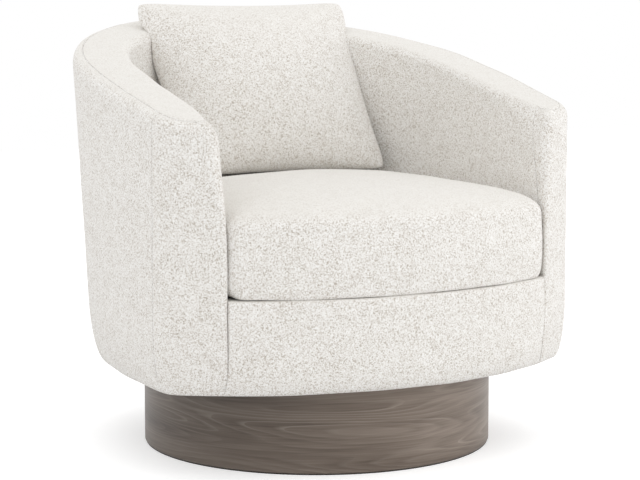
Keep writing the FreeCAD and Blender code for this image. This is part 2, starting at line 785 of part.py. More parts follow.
# Foam, wadding, boards, webbing and covers of the back and arms
def make_upholstery():
    gap = size("soft_gap")
    above = above_rim(rail_top)
    deck_up = space(low=deck_low)
    stumps = tub_wood.common(space(back=stump_y)).common(below_rim(rail_low))
    foam_zone = hollow(t_foam).common(deck_up)
    foam = wall_soft.common(foam_zone).cut(stumps)
    rim_pad = wall_soft.common(above).cut(hollow(t_foam))
    feature("inner_foam", solids_only(foam))
    feature("rim_pad", solids_only(rim_pad.common(space(front=stump_y))))

    outside = wall_soft.cut(tub_wood).common(below_rim(rail_top)).cut(hollow(t_foam))
    feature("outer_wadding", solids_only(outside.common(space(front=stump_y))))
    front_pads = wall_soft.common(space(back=stump_y)).cut(stumps).cut(foam_zone).cut(slab(0, board_low))
    feature("arm_front_pad_left", solids_only(front_pads.common(space(right=0))))
    feature("arm_front_pad_right", solids_only(front_pads.common(space(left=0))))

    panel = tub_wood.cut(tub_rib).common(below_rim(rail_top)).cut(slab(0, board_high))
    panel = panel.common(space(front=stump_y)).cut(hollow(t_web))
    feature("outer_board", solids_only(panel))

    strips = hollow(t_web).cut(hollow(t_foam)).common(tub_rib).common(space(front=stump_y))
    strips = strips.common(below_rim(rail_low))
    bands = []
    for i in range(count("webbing_count")):
        low = size("webbing_first") + i * size("webbing_pitch")
        bands += strips.common(slab(low, low + size("webbing_height"))).Solids
    feature("back_webbing", Part.makeCompound([b for b in bands if b.Volume > SLIVER]))

    skin = wall_cover.cut(wall_soft)
    inner_side = hollow(size("rim_round") + t_cover).common(deck_up)
    top_side = above_rim(size("rim_round"))
    rear = skin.common(space(front=stump_y))
    inner_part = rear.common(inner_side.fuse(top_side))
    outer_part = rear.cut(inner_side).cut(top_side).cut(hollow(size("rim_round")))
    feature("inner_cover", solids_only(inner_part))
    feature("outer_cover", solids_only(outer_part))
    ends = skin.common(space(back=stump_y)).cut(hollow(t_cover + gap).common(slab(0, deck_low)))
    feature("arm_front_cover_left", solids_only(ends.common(space(right=0))))
    feature("arm_front_cover_right", solids_only(ends.common(space(left=0))))

    dust = tub_wood.common(slab(board_low - size("dust_cover_thick"), board_low))
    dust = dust.cut(round_bar(size("dust_cover_hole"), size("dust_cover_thick"),
                              0, 0, board_low - size("dust_cover_thick")))
    feature("dust_cover", solids_only(dust))


# Seat cushion: straight drawn-in sides and a crowned top that rounds over at the front
def cushion_front(inset, wide):
    half = wide - size("cushion_gap") - inset
    corner = size("cushion_corner") + size("cushion_corner_growth") * max(0.0, inset)
    bow_y = bow_centre + max(0.0, inset) + size("cushion_gap")
    lean = math.asin((half - corner) / (bow_radius - corner))
    corner_y = bow_y - (bow_radius - corner) * math.cos(lean)
    return half, corner, bow_y, lean, corner_y


# The crown draws in as far as its own size says, or until the cushion's straight sides run out
def crown_inset(z):
    wide, back, side, side_x, side_y, back_y, turn = seat_outline(z)
    inset = size("cushion_crown_inset")
    while side_y - cushion_front(inset, wide)[4] < size("cushion_straight_least"):
        inset -= size("cushion_crown_step")
    return inset


def cushion_wire(inset, z):
    level = min(z, size("cushion_top") - size("cushion_crown"))
    wide, back, side, side_x, side_y, back_y, turn = seat_outline(level)
    drop = size("cushion_gap") + inset
    half, corner, bow_y, lean, corner_y = cushion_front(inset, wide)
    bow = bow_radius

    def on_bow(angle):
        return (bow * math.sin(angle), bow_y - bow * math.cos(angle), z)

    def on_corner(angle, hand):
        return (hand * (half - corner + corner * math.cos(angle)), corner_y + corner * math.sin(angle), z)

    def on_side(angle, hand):
        return (hand * (side_x + (side - drop) * math.cos(angle)),
                side_y + (side - drop) * math.sin(angle), z)

    def on_back(angle):
        return ((back - drop) * math.cos(angle), back_y + (back - drop) * math.sin(angle), z)

    first = lean - math.pi / 2
    return Part.Wire([
        arc(on_bow(-lean), on_bow(0), on_bow(lean)),
        arc(on_corner(first, 1), on_corner(first / 2, 1), on_corner(0, 1)),
        Part.LineSegment(Vector(*on_corner(0, 1)), Vector(*on_side(0, 1))).toShape(),
        arc(on_side(0, 1), on_side(turn / 2, 1), on_side(turn, 1)),
        arc(on_back(turn), on_back(math.pi / 2), on_back(math.pi - turn)),
        arc(on_side(turn, -1), on_side(turn / 2, -1), on_side(0, -1)),
        Part.LineSegment(Vector(*on_side(0, -1)), Vector(*on_corner(0, -1))).toShape(),
        arc(on_corner(0, -1), on_corner(first / 2, -1), on_corner(first, -1)),
    ])


def cushion_block(depth):
    low = deck_high + size("soft_gap") + depth
    top, crown = size("cushion_top") - depth, size("cushion_crown")
    shoulder = size("cushion_top") - crown
    foot = size("cushion_foot_round")
    levels = list(rolled_edge(low, foot, foot, 3))
    levels.append((shoulder, 0))
    steps = 6
    for i in range(1, steps + 1):
        turn = math.pi / 2 * i / steps
        inward = (1 - math.cos(turn)) ** size("cushion_crown_power")
        levels.append((mix(shoulder, top, math.sin(turn)), (crown_inset(shoulder) - depth) * inward))
    return Part.makeLoft([cushion_wire(depth + inset, z) for z, inset in levels], True, True)


def make_cushion():
    whole = cushion_block(0)
    core = cushion_block(size("cushion_cover_thick"))
    feature("seat_cushion_cover", solids_only(whole.cut(core)))
    feature("seat_cushion_foam", core)


# Pillow: a knife-edge square whose sides are drawn in between its corners
def pillow_wire(half_wide, half_high, waist, corner, depth):
    edges = []
    places = [(1, 0), (0, 1), (-1, 0), (0, -1)]
    ends = []
    for k in range(4):
        a, b = places[k], places[(k + 1) % 4]
        sx, sy = a[0] + b[0], a[1] + b[1]
        centre = (sx * (half_wide - corner), sy * (half_high - corner))
        begin, finish = math.radians(90 * k), math.radians(90 * k + 90)
        points = [(centre[0] + corner * math.cos(t), centre[1] + corner * math.sin(t))
                  for t in (begin, (begin + finish) / 2, finish)]
        ends.append(points)
    for k in range(4):
        now, after = ends[k], ends[(k + 1) % 4]
        edges.append(arc(*[(p[0], depth, p[1]) for p in now]))
        a, b = now[2], after[0]
        away = places[(k + 1) % 4]
        middle = ((a[0] + b[0]) / 2 + waist * away[0], (a[1] + b[1]) / 2 + waist * away[1])
        edges.append(arc((a[0], depth, a[1]), (middle[0], depth, middle[1]), (b[0], depth, b[1])))
    return Part.Wire(edges)


def pillow_block(shrink):
    wide = size("pillow_width") / 2 - shrink
    high = size("pillow_height") / 2 - shrink
    thick = size("pillow_thick") / 2 - shrink
    waist, corner = size("pillow_waist"), size("pillow_corner")
    steps = 6
    sections = []
    for i in range(-steps, steps + 1):
        turn = math.pi / 2 * i / (steps + 0.5)
        fall = abs(math.sin(turn)) ** size("pillow_edge_power")
        shrunk = size("pillow_shrink") * fall ** size("pillow_shrink_power")
        pull = 1 - shrunk - size("pillow_edge_slope") * fall
        bow = -waist * (1 - size("pillow_waist_fall") * fall)
        ring = mix(corner, min(wide, high) * pull * size("pillow_face_round"), fall)
        sections.append(pillow_wire(wide * pull, high * pull, bow, ring, -thick * math.sin(turn)))
    return Part.makeLoft(sections, True, True)


def pillow_place(shape):
    shape = shape.copy()
    shape.rotate(Vector(0, 0, 0), Vector(1, 0, 0), -size("pillow_lean_degrees"))
    shape.rotate(Vector(0, 0, 0), Vector(0, 0, 1), -size("pillow_turn_degrees"))
    shape.translate(Vector(size("pillow_side_shift"), size("pillow_back_shift"),
                           size("pillow_centre_height")))
    return shape


# The pillow is pressed flat where it leans on the tub's wall and stands on the cushion
def pressed(shape, depth):
    gap = size("soft_gap") + depth
    against = tub_cover.common(below_rim(-gap)).cut(hollow(-gap))
    return solids_only(pillow_place(shape).cut(against).cut(cushion_block(-gap)))


def make_pillow():
    inset = size("pillow_cover_thick")
    insert = pressed(pillow_block(inset), inset)
    feature("pillow_cover", solids_only(pressed(pillow_block(0), 0).cut(insert)))
    feature("pillow_insert", insert)


make_floor_pad()
make_drum()
make_stiffener()
make_top_board()
make_blocks()
make_swivel()
make_frame()
make_springs()
make_deck()
make_front()
make_upholstery()
make_cushion()
make_pillow()
doc.recompute()

# Every object must be sound before anything is written
for thing in doc.Objects:
    if "Invalid" in thing.State or "Error" in thing.State:
        raise RuntimeError("%s failed: %s" % (thing.Name, thing.State))
for thing in kept:
    if thing.Shape.isNull() or not thing.Shape.isValid():
        raise RuntimeError("%s has no sound shape" % thing.Label)

os.makedirs("parts", exist_ok=True)
for thing in kept:
    thing.Shape.exportStep("parts/%s.step" % thing.Label)
    print("%-24s solids %2d  volume %12.1f" % (thing.Label, len(thing.Shape.Solids), thing.Shape.Volume))
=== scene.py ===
import bmesh
import bpy
import json
import math
import numpy as np
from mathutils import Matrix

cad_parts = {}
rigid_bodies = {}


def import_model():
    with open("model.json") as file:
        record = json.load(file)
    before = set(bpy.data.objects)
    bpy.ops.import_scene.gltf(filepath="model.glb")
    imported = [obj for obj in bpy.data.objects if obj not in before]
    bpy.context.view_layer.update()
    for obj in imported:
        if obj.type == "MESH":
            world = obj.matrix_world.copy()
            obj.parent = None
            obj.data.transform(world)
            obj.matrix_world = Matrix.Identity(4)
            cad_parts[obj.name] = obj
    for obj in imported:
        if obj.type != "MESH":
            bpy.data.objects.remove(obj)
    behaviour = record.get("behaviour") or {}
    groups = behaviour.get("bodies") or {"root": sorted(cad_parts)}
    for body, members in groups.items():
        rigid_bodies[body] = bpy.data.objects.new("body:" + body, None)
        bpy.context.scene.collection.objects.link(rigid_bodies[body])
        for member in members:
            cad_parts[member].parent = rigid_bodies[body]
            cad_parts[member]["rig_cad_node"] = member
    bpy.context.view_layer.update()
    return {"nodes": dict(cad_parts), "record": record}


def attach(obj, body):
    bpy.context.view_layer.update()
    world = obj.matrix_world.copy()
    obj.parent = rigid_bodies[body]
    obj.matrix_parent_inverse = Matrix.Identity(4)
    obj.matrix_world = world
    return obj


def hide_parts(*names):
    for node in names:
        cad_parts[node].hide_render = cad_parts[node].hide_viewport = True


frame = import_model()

# Metres throughout. Z is up along the swivel axis and the chair faces -Y.

# Small helpers


def toLinear(hexColour):
    # sRGB hex to linear light, opaque
    parts = [int(hexColour[i:i + 2], 16) / 255 for i in (1, 3, 5)]
    return tuple(p / 12.92 if p <= 0.04045 else ((p + 0.055) / 1.055) ** 2.4 for p in parts) + (1.0,)


def setStops(ramp, stops):
    # a colour ramp's places and colours, straight between them
    while len(ramp.elements) < len(stops):
        ramp.elements.new(0.5)
    for element, (place, hexColour) in zip(ramp.elements, stops):
        element.position = place
        element.color = toLinear(hexColour)


def connect(tree, source, node, name):
    # links a socket, or a node's first output, to a node's input
    tree.links.new(source.outputs[0] if hasattr(source, "outputs") else source, node.inputs[name])


def addNode(tree, kind, settings=None, links=None):
    # one shader node, with its properties and input values from settings, and its links by input
    node = tree.nodes.new("ShaderNode" + kind)
    for name, value in (settings or {}).items():
        if name == "stops":
            setStops(node.color_ramp, value)
        elif isinstance(name, int) or name in node.inputs:
            node.inputs[name].default_value = value
        else:
            setattr(node, name, value)
    for name, source in (links or {}).items():
        connect(tree, source, node, name)
    return node


def mix(low, high, part):
    # low at 0, high at 1, evenly between
    return low + (high - low) * part


def midway(first, second):
    # halfway between two points, each an x and a y
    return (first[0] + second[0]) / 2, (first[1] + second[1]) / 2


def around(centreX, centreY, radius, turn):
    # the point of a circle at an angle from +X
    return centreX + radius * np.cos(turn), centreY + radius * np.sin(turn)


def bothHands(runs):
    # joins runs of x and y from the front round to the back, and brings them round the other hand
    x, y = (np.concatenate(line, axis=-1) for line in zip(*runs))
    return (np.concatenate([x, -x[..., -2:0:-1]], axis=-1), np.concatenate([y, y[..., -2:0:-1]], axis=-1))


def smoothStep(low, high, value):
    # 0 at low, 1 at high, t^2 (3 - 2 t) between
    t = np.clip((value - low) / (high - low), 0, 1)
    return t * t * (3 - 2 * t)


waves = {
    "count": 5, "shortest": 0.75, "step": 0.17,      # lengths as shares of the wavelength asked for
    "turnByAxis": 1.7, "turnByWave": 2.4, "phaseByAxis": 3.1,      # radians
}


def rippled(points, amount, wavelength, seed=0):
    # moves each point along x, y and z by a mean of slanted sine waves of its place: smooth, always the
    # same, and alike where pieces meet
    shift = np.zeros(points.shape)
    for axis in range(3):
        for k in range(waves["count"]):
            turn = (seed + axis) * waves["turnByAxis"] + k * waves["turnByWave"]
            # unlike angles for x, y and z, so that the waves cross
            way = np.array([math.cos(turn), math.sin(turn * 1.3), math.cos(turn * 0.7 + 1)])
            length = wavelength * (waves["shortest"] + waves["step"] * k)
            way = way / np.linalg.norm(way) * 2 * math.pi / length
            phase = (seed + axis) * waves["phaseByAxis"] + k
            shift[..., axis] += np.sin(points @ way + phase) / waves["count"]
    return points + amount * shift


def meshFromGrids(name, grids, loop=False):
    # pairs of a grid of points (rows, columns, 3) and a grid of points inside it, away from which its quads
    # are turned; loop joins the last column to the first
    points, faces, count = [], [], 0
    for grid, inside in grids:
        rows, cols = grid.shape[:2]
        index = np.arange(rows * cols).reshape(rows, cols)
        after = np.roll(index, -1, axis=1) if loop else index[:, 1:]
        here = index if loop else index[:, :-1]
        quads = np.stack([here[:-1], after[:-1], after[1:], here[1:]], axis=-1).reshape(-1, 4)
        corner = grid.reshape(-1, 3)[quads]
        normal = np.cross(corner[:, 2] - corner[:, 0], corner[:, 3] - corner[:, 1])
        if np.sum(normal * (corner.mean(1) - inside.reshape(-1, 3)[quads].mean(1))) < 0:
            quads = quads[:, ::-1]
        points.append(grid.reshape(-1, 3))
        faces.append(quads + count)
        count += rows * cols
    mesh = bpy.data.meshes.new(name)
    mesh.from_pydata(np.concatenate(points).tolist(), [], np.concatenate(faces).tolist())
    return finishMesh(name, mesh)


mergeWithin = 0.00002        # points nearer than this are one
flatWithin = 0.00001         # edges shorter than this go


def finishMesh(name, mesh):
    # merges doubles at poles and joins, drops what has no area, shades smooth and links the object
    work = bmesh.new()
    work.from_mesh(mesh)
    bmesh.ops.remove_doubles(work, verts=work.verts, dist=mergeWithin)
    bmesh.ops.dissolve_degenerate(work, dist=flatWithin, edges=work.edges)
    for face in work.faces:
        face.smooth = True
    work.to_mesh(mesh)
    work.free()
    mesh.update()
    thing = bpy.data.objects.new(name, mesh)
    bpy.context.scene.collection.objects.link(thing)
    return thing


def thicken(thing, thickness):
    # gives a sheet its thickness, inwards
    skin = thing.modifiers.new("thickness", "SOLIDIFY")
    skin.thickness = thickness
    skin.offset = -1
    skin.use_even_offset = False
    return thing


def dress(thing, material, slot, body, *nodes):
    # a piece's material, the body it rides on and the CAD nodes it stands for; slot is not used
    thing.data.materials.clear()
    thing.data.materials.append(material)
    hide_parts(*nodes)
    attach(thing, body)


# Materials
print("stage: materials")

boucle = {
    # scattered darker fibres, gaps between the loops, their sides and their tops
    "stops": [(0.38, "#b0a79c"), (0.52, "#d6d1ca"), (0.66, "#ebe9e5"), (0.86, "#f4f3f1")],
    "level": "#dedbd5",      # painted light: the even tone given to faces that look up, where light washes out the loops
    "nub": 0.0023,           # one loop, 2.3 mm across
    "height": 0.0010,        # and 1 mm high
    # from the top of a loop to its foot, by distance from its middle in loops
    "loopRange": {"From Min": 0.10, "From Max": 0.70, "To Min": 1.0, "To Max": 0.0},
    "driftScale": 0.5, "wander": 0.003,      # how fast, in cycles per loop, and how far the loops stray
    "curlScale": 1.1,        # cycles per loop of the yarn's own curl
    "clumpScale": 0.12,      # and of the slow patches
    "loopShare": 0.35, "clumpShare": 0.16,   # what loops and patches add to the curl
    # how far that painted even tone covers the loops, by how much the face looks up
    "paintedTopRange": {"From Min": 0.55, "From Max": 0.97, "To Min": 0.0, "To Max": 0.65},
    "relief": 0.7, "reliefLoss": 0.8,        # strength of the relief, and what it loses there
    "shader": {"Roughness": 0.95, "Specular IOR Level": 0.2, "Sheen Weight": 0.25, "Sheen Roughness": 0.5},
}


def makeMaterial(name, settings):
    # an empty material with its shader set, and the Object coordinates that its patterns read
    material = bpy.data.materials.new(name)
    material.use_nodes = True
    tree = material.node_tree
    tree.nodes.clear()
    output = addNode(tree, "OutputMaterial")
    shader = addNode(tree, "BsdfPrincipled", settings)
    connect(tree, shader, output, "Surface")
    place = addNode(tree, "TexCoord").outputs["Object"]
    return material, tree, shader, place


def makeBoucle():
    # boucle woven from a looped wool-blend yarn in cream: soft round nubs with darker gaps and a few
    # grey-beige fibres, and no shine
    material, tree, shader, place = makeMaterial("creamBoucle", boucle["shader"])
    nub = boucle["nub"]
    drift = addNode(tree, "TexNoise", {"Scale": boucle["driftScale"] / nub, "Detail": 2.0},
                    {"Vector": place})
    wander = addNode(tree, "MixRGB", {"blend_type": "LINEAR_LIGHT", "Fac": boucle["wander"]},
                     {"Color1": place, "Color2": drift.outputs["Color"]})
    loops = addNode(tree, "TexVoronoi", {"Scale": 1 / nub, "feature": "SMOOTH_F1", "Smoothness": 0.3},
                    {"Vector": wander})
    curl = addNode(tree, "TexNoise",
                   {"Scale": boucle["curlScale"] / nub, "Detail": 3.0, "Roughness": 0.65},
                   {"Vector": wander})
    clump = addNode(tree, "TexNoise", {"Scale": boucle["clumpScale"] / nub, "Detail": 3.0},
                    {"Vector": place})
    nubs = addNode(tree, "MapRange", boucle["loopRange"], {"Value": loops})
    height = addNode(tree, "Math", {"operation": "MULTIPLY_ADD", 1: boucle["loopShare"]},
                     {0: nubs, 2: curl})
    patch = addNode(tree, "Math",
                    {"operation": "MULTIPLY_ADD", 1: boucle["clumpShare"], 2: -boucle["clumpShare"] / 2},
                    {0: clump})
    tone = addNode(tree, "Math", {"operation": "ADD"}, {0: height, 1: patch})
    yarn = addNode(tree, "ValToRGB", {"stops": boucle["stops"]}, {"Fac": tone})
    # painted light: faces that look up take an even tone that hides the loops and the gaps between them, as
    # light washes them out
    normal = addNode(tree, "TexCoord").outputs["Normal"]
    facing = addNode(tree, "SeparateXYZ", links={"Vector": normal})
    level = addNode(tree, "MapRange", boucle["paintedTopRange"], {"Value": facing.outputs["Z"]})
    even = addNode(tree, "MixRGB", {"Color2": toLinear(boucle["level"])}, {"Fac": level, "Color1": yarn})
    connect(tree, even, shader, "Base Color")
    depth = addNode(tree, "Math",
                    {"operation": "MULTIPLY_ADD", 1: -boucle["reliefLoss"], 2: boucle["relief"]},
                    {0: level})
    bump = addNode(tree, "Bump", {"Distance": boucle["height"]}, {"Height": height, "Strength": depth})
    connect(tree, bump, shader, "Normal")
    return material


oak = {
    "radius": 0.290,
    "stops": [(0.34, "#54483f"), (0.52, "#6c6056"), (0.70, "#80746a")], "line": "#9c9186",
    "ring": 0.0036,          # depth between two growth rings
    "swellDepth": 0.13, "climb": 0.12, "waverDepth": 0.003,   # depth by swell, by height and by waver
    # noises: cycles per metre along and up, detail, roughness and shift
    "swell": (1.3, 15.0, 1.0, 0.4, 8.7),
    "waver": (9.0, 60.0, 2.0, 0.5, 0.0),
    "patches": (3.0, 22.0, 2.0, 0.5, 7.7),
    "tone": (2.2, 28.0, 3.0, 0.5, 0.0),
    "fibres": (10.0, 420.0, 3.0, 0.6, 0.0),
    # a ring's pale line, by share of the ring, and how much it shows, by the patches' noise
    "lineRange": {"From Min": 0.70, "From Max": 0.95, "To Min": 0.0, "To Max": 1.0},
    "patchRange": {"From Min": 0.42, "From Max": 0.66, "To Min": 0.05, "To Max": 0.60},
    "ringDark": 0.14, "toneShare": 0.85, "fibreShare": 0.35,
    "drift": 0.36,           # painted shade and light round the drum, darker on the left and lighter on the right, as a share
    "paintedShadeTurn": -0.2,       # radians from the front to where the painted shade and light are even
    "relief": 0.0002,
    "shader": {"Roughness": 0.42, "Specular IOR Level": 0.35},
}


def makeOak():
    # grey-stained oak veneer bent round the drum, its grain lying level, under satin lacquer: long pale
    # lines on grey brown, with a soft shine. Its fibres are drawn 2.4 mm apart, coarser than real, to show
    material, tree, shader, place = makeMaterial("greyOakVeneer", oak["shader"])
    split = addNode(tree, "SeparateXYZ", links={"Vector": place})
    away = addNode(tree, "Math", {"operation": "MULTIPLY", 1: -1.0}, {0: split.outputs["Y"]})
    angle = addNode(tree, "Math", {"operation": "ARCTAN2"}, {0: split.outputs["X"], 1: away})
    along = addNode(tree, "Math", {"operation": "MULTIPLY", 1: oak["radius"]}, {0: angle})
    flat = addNode(tree, "CombineXYZ", links={"X": along, "Y": split.outputs["Z"]})

    def noise(scaleAlong, scaleUp, detail, roughness, shift):
        # noise drawn out along the veneer
        turned = addNode(tree, "Mapping",
                         {"Scale": (scaleAlong, scaleUp, 1.0), "Location": (shift, shift, 0.0)},
                         {"Vector": flat})
        return addNode(tree, "TexNoise", {"Scale": 1.0, "Detail": detail, "Roughness": roughness},
                       {"Vector": turned})

    # growth rings are the level lines of a slow swell drawn out along the veneer, so they close in long
    # pointed arches: depth = swellDepth * swell + climb * z + waverDepth * waver
    swell = addNode(tree, "Math", {"operation": "MULTIPLY", 1: oak["swellDepth"]},
                    {0: noise(*oak["swell"])})
    waver = addNode(tree, "Math", {"operation": "MULTIPLY_ADD", 1: oak["waverDepth"]},
                    {0: noise(*oak["waver"]), 2: swell})
    depth = addNode(tree, "Math", {"operation": "MULTIPLY_ADD", 1: oak["climb"]},
                    {0: split.outputs["Z"], 2: waver})
    turns = addNode(tree, "Math", {"operation": "DIVIDE", 1: oak["ring"]}, {0: depth})
    part = addNode(tree, "Math", {"operation": "FRACT"}, {0: turns})
    # each ring darkens slowly and ends in a thin pale line of open pores, strong in some places only
    darker = addNode(tree, "Math", {"operation": "MULTIPLY", 1: -oak["ringDark"]}, {0: part})
    lime = addNode(tree, "MapRange", oak["lineRange"], {"Value": part})
    patches = addNode(tree, "MapRange", oak["patchRange"], {"Value": noise(*oak["patches"])})
    fade = addNode(tree, "Math", {"operation": "MULTIPLY"}, {0: lime, 1: patches})
    tone = addNode(tree, "Math", {"operation": "MULTIPLY_ADD", 1: oak["toneShare"]},
                   {0: noise(*oak["tone"]), 2: darker})
    fibres = addNode(tree, "Math", {"operation": "MULTIPLY_ADD", 1: oak["fibreShare"]},
                     {0: noise(*oak["fibres"]), 2: tone})
    wood = addNode(tree, "ValToRGB", {"stops": oak["stops"]}, {"Fac": fibres})
    limed = addNode(tree, "MixRGB", {"Color2": toLinear(oak["line"])}, {"Fac": fade, "Color1": wood})
    # painted shade and light round the drum, darker on the left and lighter on the right: 1 + drift times
    # the sine of the angle less its turn
    turned = addNode(tree, "Math", {"operation": "SUBTRACT", 1: oak["paintedShadeTurn"]}, {0: angle})
    wave = addNode(tree, "Math", {"operation": "SINE"}, {0: turned})
    share = addNode(tree, "Math", {"operation": "MULTIPLY_ADD", 1: oak["drift"], 2: 1.0}, {0: wave})
    paintedShading = addNode(tree, "MixRGB", {"blend_type": "MULTIPLY", "Fac": 1.0},
                      {"Color1": limed, "Color2": share})
    connect(tree, paintedShading, shader, "Base Color")
    bump = addNode(tree, "Bump", {"Strength": 0.2, "Distance": oak["relief"]}, {"Height": fibres})
    connect(tree, bump, shader, "Normal")
    return material


def makePlain(name, light, dark, spacing, roughness, metallic=0.0, stretch=(1.0, 1.0, 1.0),
              bumpHeight=0.0002, sheen=0.0):
    # a material with one noise for its colour and its relief, stretched along the grain or thread
    settings = {"Roughness": roughness, "Metallic": metallic, "Sheen Weight": sheen}
    material, tree, shader, place = makeMaterial(name, settings)
    turned = addNode(tree, "Mapping", {"Scale": stretch}, {"Vector": place})
    noise = addNode(tree, "TexNoise", {"Scale": 1 / spacing, "Detail": 4.0, "Roughness": 0.6},
                    {"Vector": turned})
    colour = addNode(tree, "ValToRGB", {"stops": [(0.35, dark), (0.65, light)]}, {"Fac": noise})
    connect(tree, colour, shader, "Base Color")
    bump = addNode(tree, "Bump", {"Strength": 0.5, "Distance": bumpHeight}, {"Height": noise})
    connect(tree, bump, shader, "Normal")
    return material


weave = {
    "bands": 3.2,            # bands of a wave texture in one cycle of its scale
    "height": 0.0004,        # of a thread over the next
    "shader": {"Roughness": 0.9, "Sheen Weight": 0.2},
}


def makeWeave(name, light, dark, pitch):
    # plain weave: two crossed wave textures a thread apart
    material, tree, shader, place = makeMaterial(name, weave["shader"])
    threads = {"Scale": 1 / pitch / weave["bands"], "Distortion": 0.6, "Detail": 1.0}
    across = addNode(tree, "TexWave", {"bands_direction": "X", **threads}, {"Vector": place})
    along = addNode(tree, "TexWave", {"bands_direction": "Y", **threads}, {"Vector": place})
    both = addNode(tree, "Math", {"operation": "MULTIPLY"},
                   {0: across.outputs["Fac"], 1: along.outputs["Fac"]})
    colour = addNode(tree, "ValToRGB", {"stops": [(0.0, dark), (0.7, light)]}, {"Fac": both})
    connect(tree, colour, shader, "Base Color")
    bump = addNode(tree, "Bump", {"Strength": 0.5, "Distance": weave["height"]}, {"Height": both})
    connect(tree, bump, shader, "Normal")
    return material


creamBoucle = makeBoucle()
# plain woven cotton, flat, matt and a little darker than the boucle
cottonLining = makeWeave("cottonLining", "#e4ded3", "#c9c1b3", 0.0016)
smooth = 0.00005             # relief of a plated, painted or moulded face, in metres
# for each: the lighter and darker colour, the size of its pattern in metres, and its roughness. Threads,
# fibres and pores finer than 1.5 mm are drawn at about that size, so that they show
slotMaterials = {
    # matted dark fibres, quite dull
    "felt": makePlain("needledFelt", "#3a3430", "#211d1b", 0.002, 0.95, sheen=0.3),
    "oak_veneer": makeOak(),
    # raw sawn timber, dull, its figure drawn out level in the plywood and upright in the pine
    "plywood": makePlain("birchPlywood", "#d8bd92", "#b99868", 0.02, 0.6, stretch=(1.0, 1.0, 8.0)),
    "softwood": makePlain("planedPine", "#dcbb86", "#bf9660", 0.02, 0.55, stretch=(6.0, 6.0, 0.6)),
    # thin bright plating, faintly clouded
    "zinc_steel": makePlain("zincPlatedSteel", "#c9ccd0", "#a9adb3", 0.004, 0.32, 1.0, bumpHeight=smooth),
    # pressed steel under black enamel with a soft shine
    "black_steel": makePlain("blackStoveEnamel", "#242426", "#161618", 0.003, 0.38, bumpHeight=smooth),
    # drawn wire, dark from its oil
    "spring_wire": makePlain("oiledSpringSteel", "#6d6a66", "#4b4845", 0.005, 0.35, 1.0, bumpHeight=smooth),
    # wire wound in brown paper, dull
    "paper_wire": makePlain("paperCoveredWire", "#b39a74", "#8c744f", 0.002, 0.85),
    # moulded, milky and smooth
    "nylon": makePlain("naturalNylon", "#e8e4d9", "#dbd6c8", 0.01, 0.4, bumpHeight=smooth),
    # pressed wood fibre, speckled and dull
    "fibreboard": makePlain("greyFibreboard", "#9a8468", "#7b674e", 0.003, 0.85),
    # flat elastic bands, threads 2 mm apart
    "webbing": makeWeave("elasticWebbing", "#34343a", "#1c1c20", 0.002),
    # bonded black fibre, thin and dull
    "black_cloth": makePlain("spunbondCloth", "#1f1f20", "#0f0f10", 0.0015, 0.9, sheen=0.2),
    # coarse brown thread
    "deck_cloth": makeWeave("wovenJute", "#b59a70", "#80694a", 0.0022),
    "deck_fabric": cottonLining,
    # open cells of about 1.5 mm, cream yellow
    "foam": makePlain("openCellFoam", "#efe6c8", "#dccfa6", 0.0015, 0.95),
    # loose white fibre
    "wadding": makePlain("polyesterWadding", "#f4f4f2", "#e2e2df", 0.006, 0.95, sheen=0.5),
    "boucle": creamBoucle,
}
slotOf = {entry["node"]: entry["material_slot"] for entry in frame["record"]["subparts"]}
for nodeName, thing in frame["nodes"].items():
    thing.data.materials.clear()
    thing.data.materials.append(slotMaterials[slotOf[nodeName]])

# Camera, light and floor
print("stage: camera and light")

cameraSettings = {
    "place": (-1.5703, -2.9545, 0.7463),
    "yaw": 0.4902, "pitch": 0.1230,          # radians, turned to the right and tipped down
    "lens": 113.17, "sensor": 36.0,
}
cameraData = bpy.data.cameras.new("photoCamera")
cameraData.lens = cameraSettings["lens"]
cameraData.sensor_width = cameraSettings["sensor"]
camera = bpy.data.objects.new("photoCamera", cameraData)
camera.location = cameraSettings["place"]
camera.rotation_euler = (math.pi / 2 - cameraSettings["pitch"], 0, -cameraSettings["yaw"])
bpy.context.scene.collection.objects.link(camera)
bpy.context.scene.camera = camera
bpy.context.scene.view_settings.view_transform = "Standard"

lamps = {
    "key": {"place": (2.0, -2.8, 2.6), "size": 2.4, "power": 6},
    "low": {"place": (2.3, -1.9, 0.30), "size": 0.6, "power": 8},      # along the floor, onto the plinth
}
lampAim = (0, 0, 0.35)       # half the tub's height
sky = {"seen": 1.0, "hidden": 1.12}          # strength to the camera and reflections, and to the object
floorSettings = {"half": 6, "grey": 0.82, "glow": 0.40}      # glow for the camera and reflections only
for lampName, lamp in lamps.items():
    light = bpy.data.lights.new(lampName, "AREA")
    light.shape = "SQUARE"
    light.size = lamp["size"]
    light.energy = lamp["power"]
    holder = bpy.data.objects.new(lampName, light)
    holder.location = lamp["place"]
    aim = np.array(lampAim) - np.array(lamp["place"])
    tip = math.atan2(math.hypot(aim[0], aim[1]), -aim[2])
    holder.rotation_euler = (tip, 0, math.atan2(-aim[0], aim[1]))
    bpy.context.scene.collection.objects.link(holder)


def onlyDirect(tree, seen, hidden):
    # picks seen for camera rays and reflections, and hidden for light that bounces
    path = addNode(tree, "LightPath")
    either = addNode(tree, "Math", {"operation": "MAXIMUM"},
                     {0: path.outputs["Is Camera Ray"], 1: path.outputs["Is Glossy Ray"]})
    return addNode(tree, "MixShader", links={0: either, 1: hidden, 2: seen})


world = bpy.data.worlds.new("studio")
bpy.context.scene.world = world
world.use_nodes = True
world.node_tree.nodes.clear()
skyOut = addNode(world.node_tree, "OutputWorld")
white = (1, 1, 1, 1)
skySeen = addNode(world.node_tree, "Background", {"Color": white, "Strength": sky["seen"]})
skyLight = addNode(world.node_tree, "Background", {"Color": white, "Strength": sky["hidden"]})
connect(world.node_tree, onlyDirect(world.node_tree, skySeen, skyLight), skyOut, "Surface")

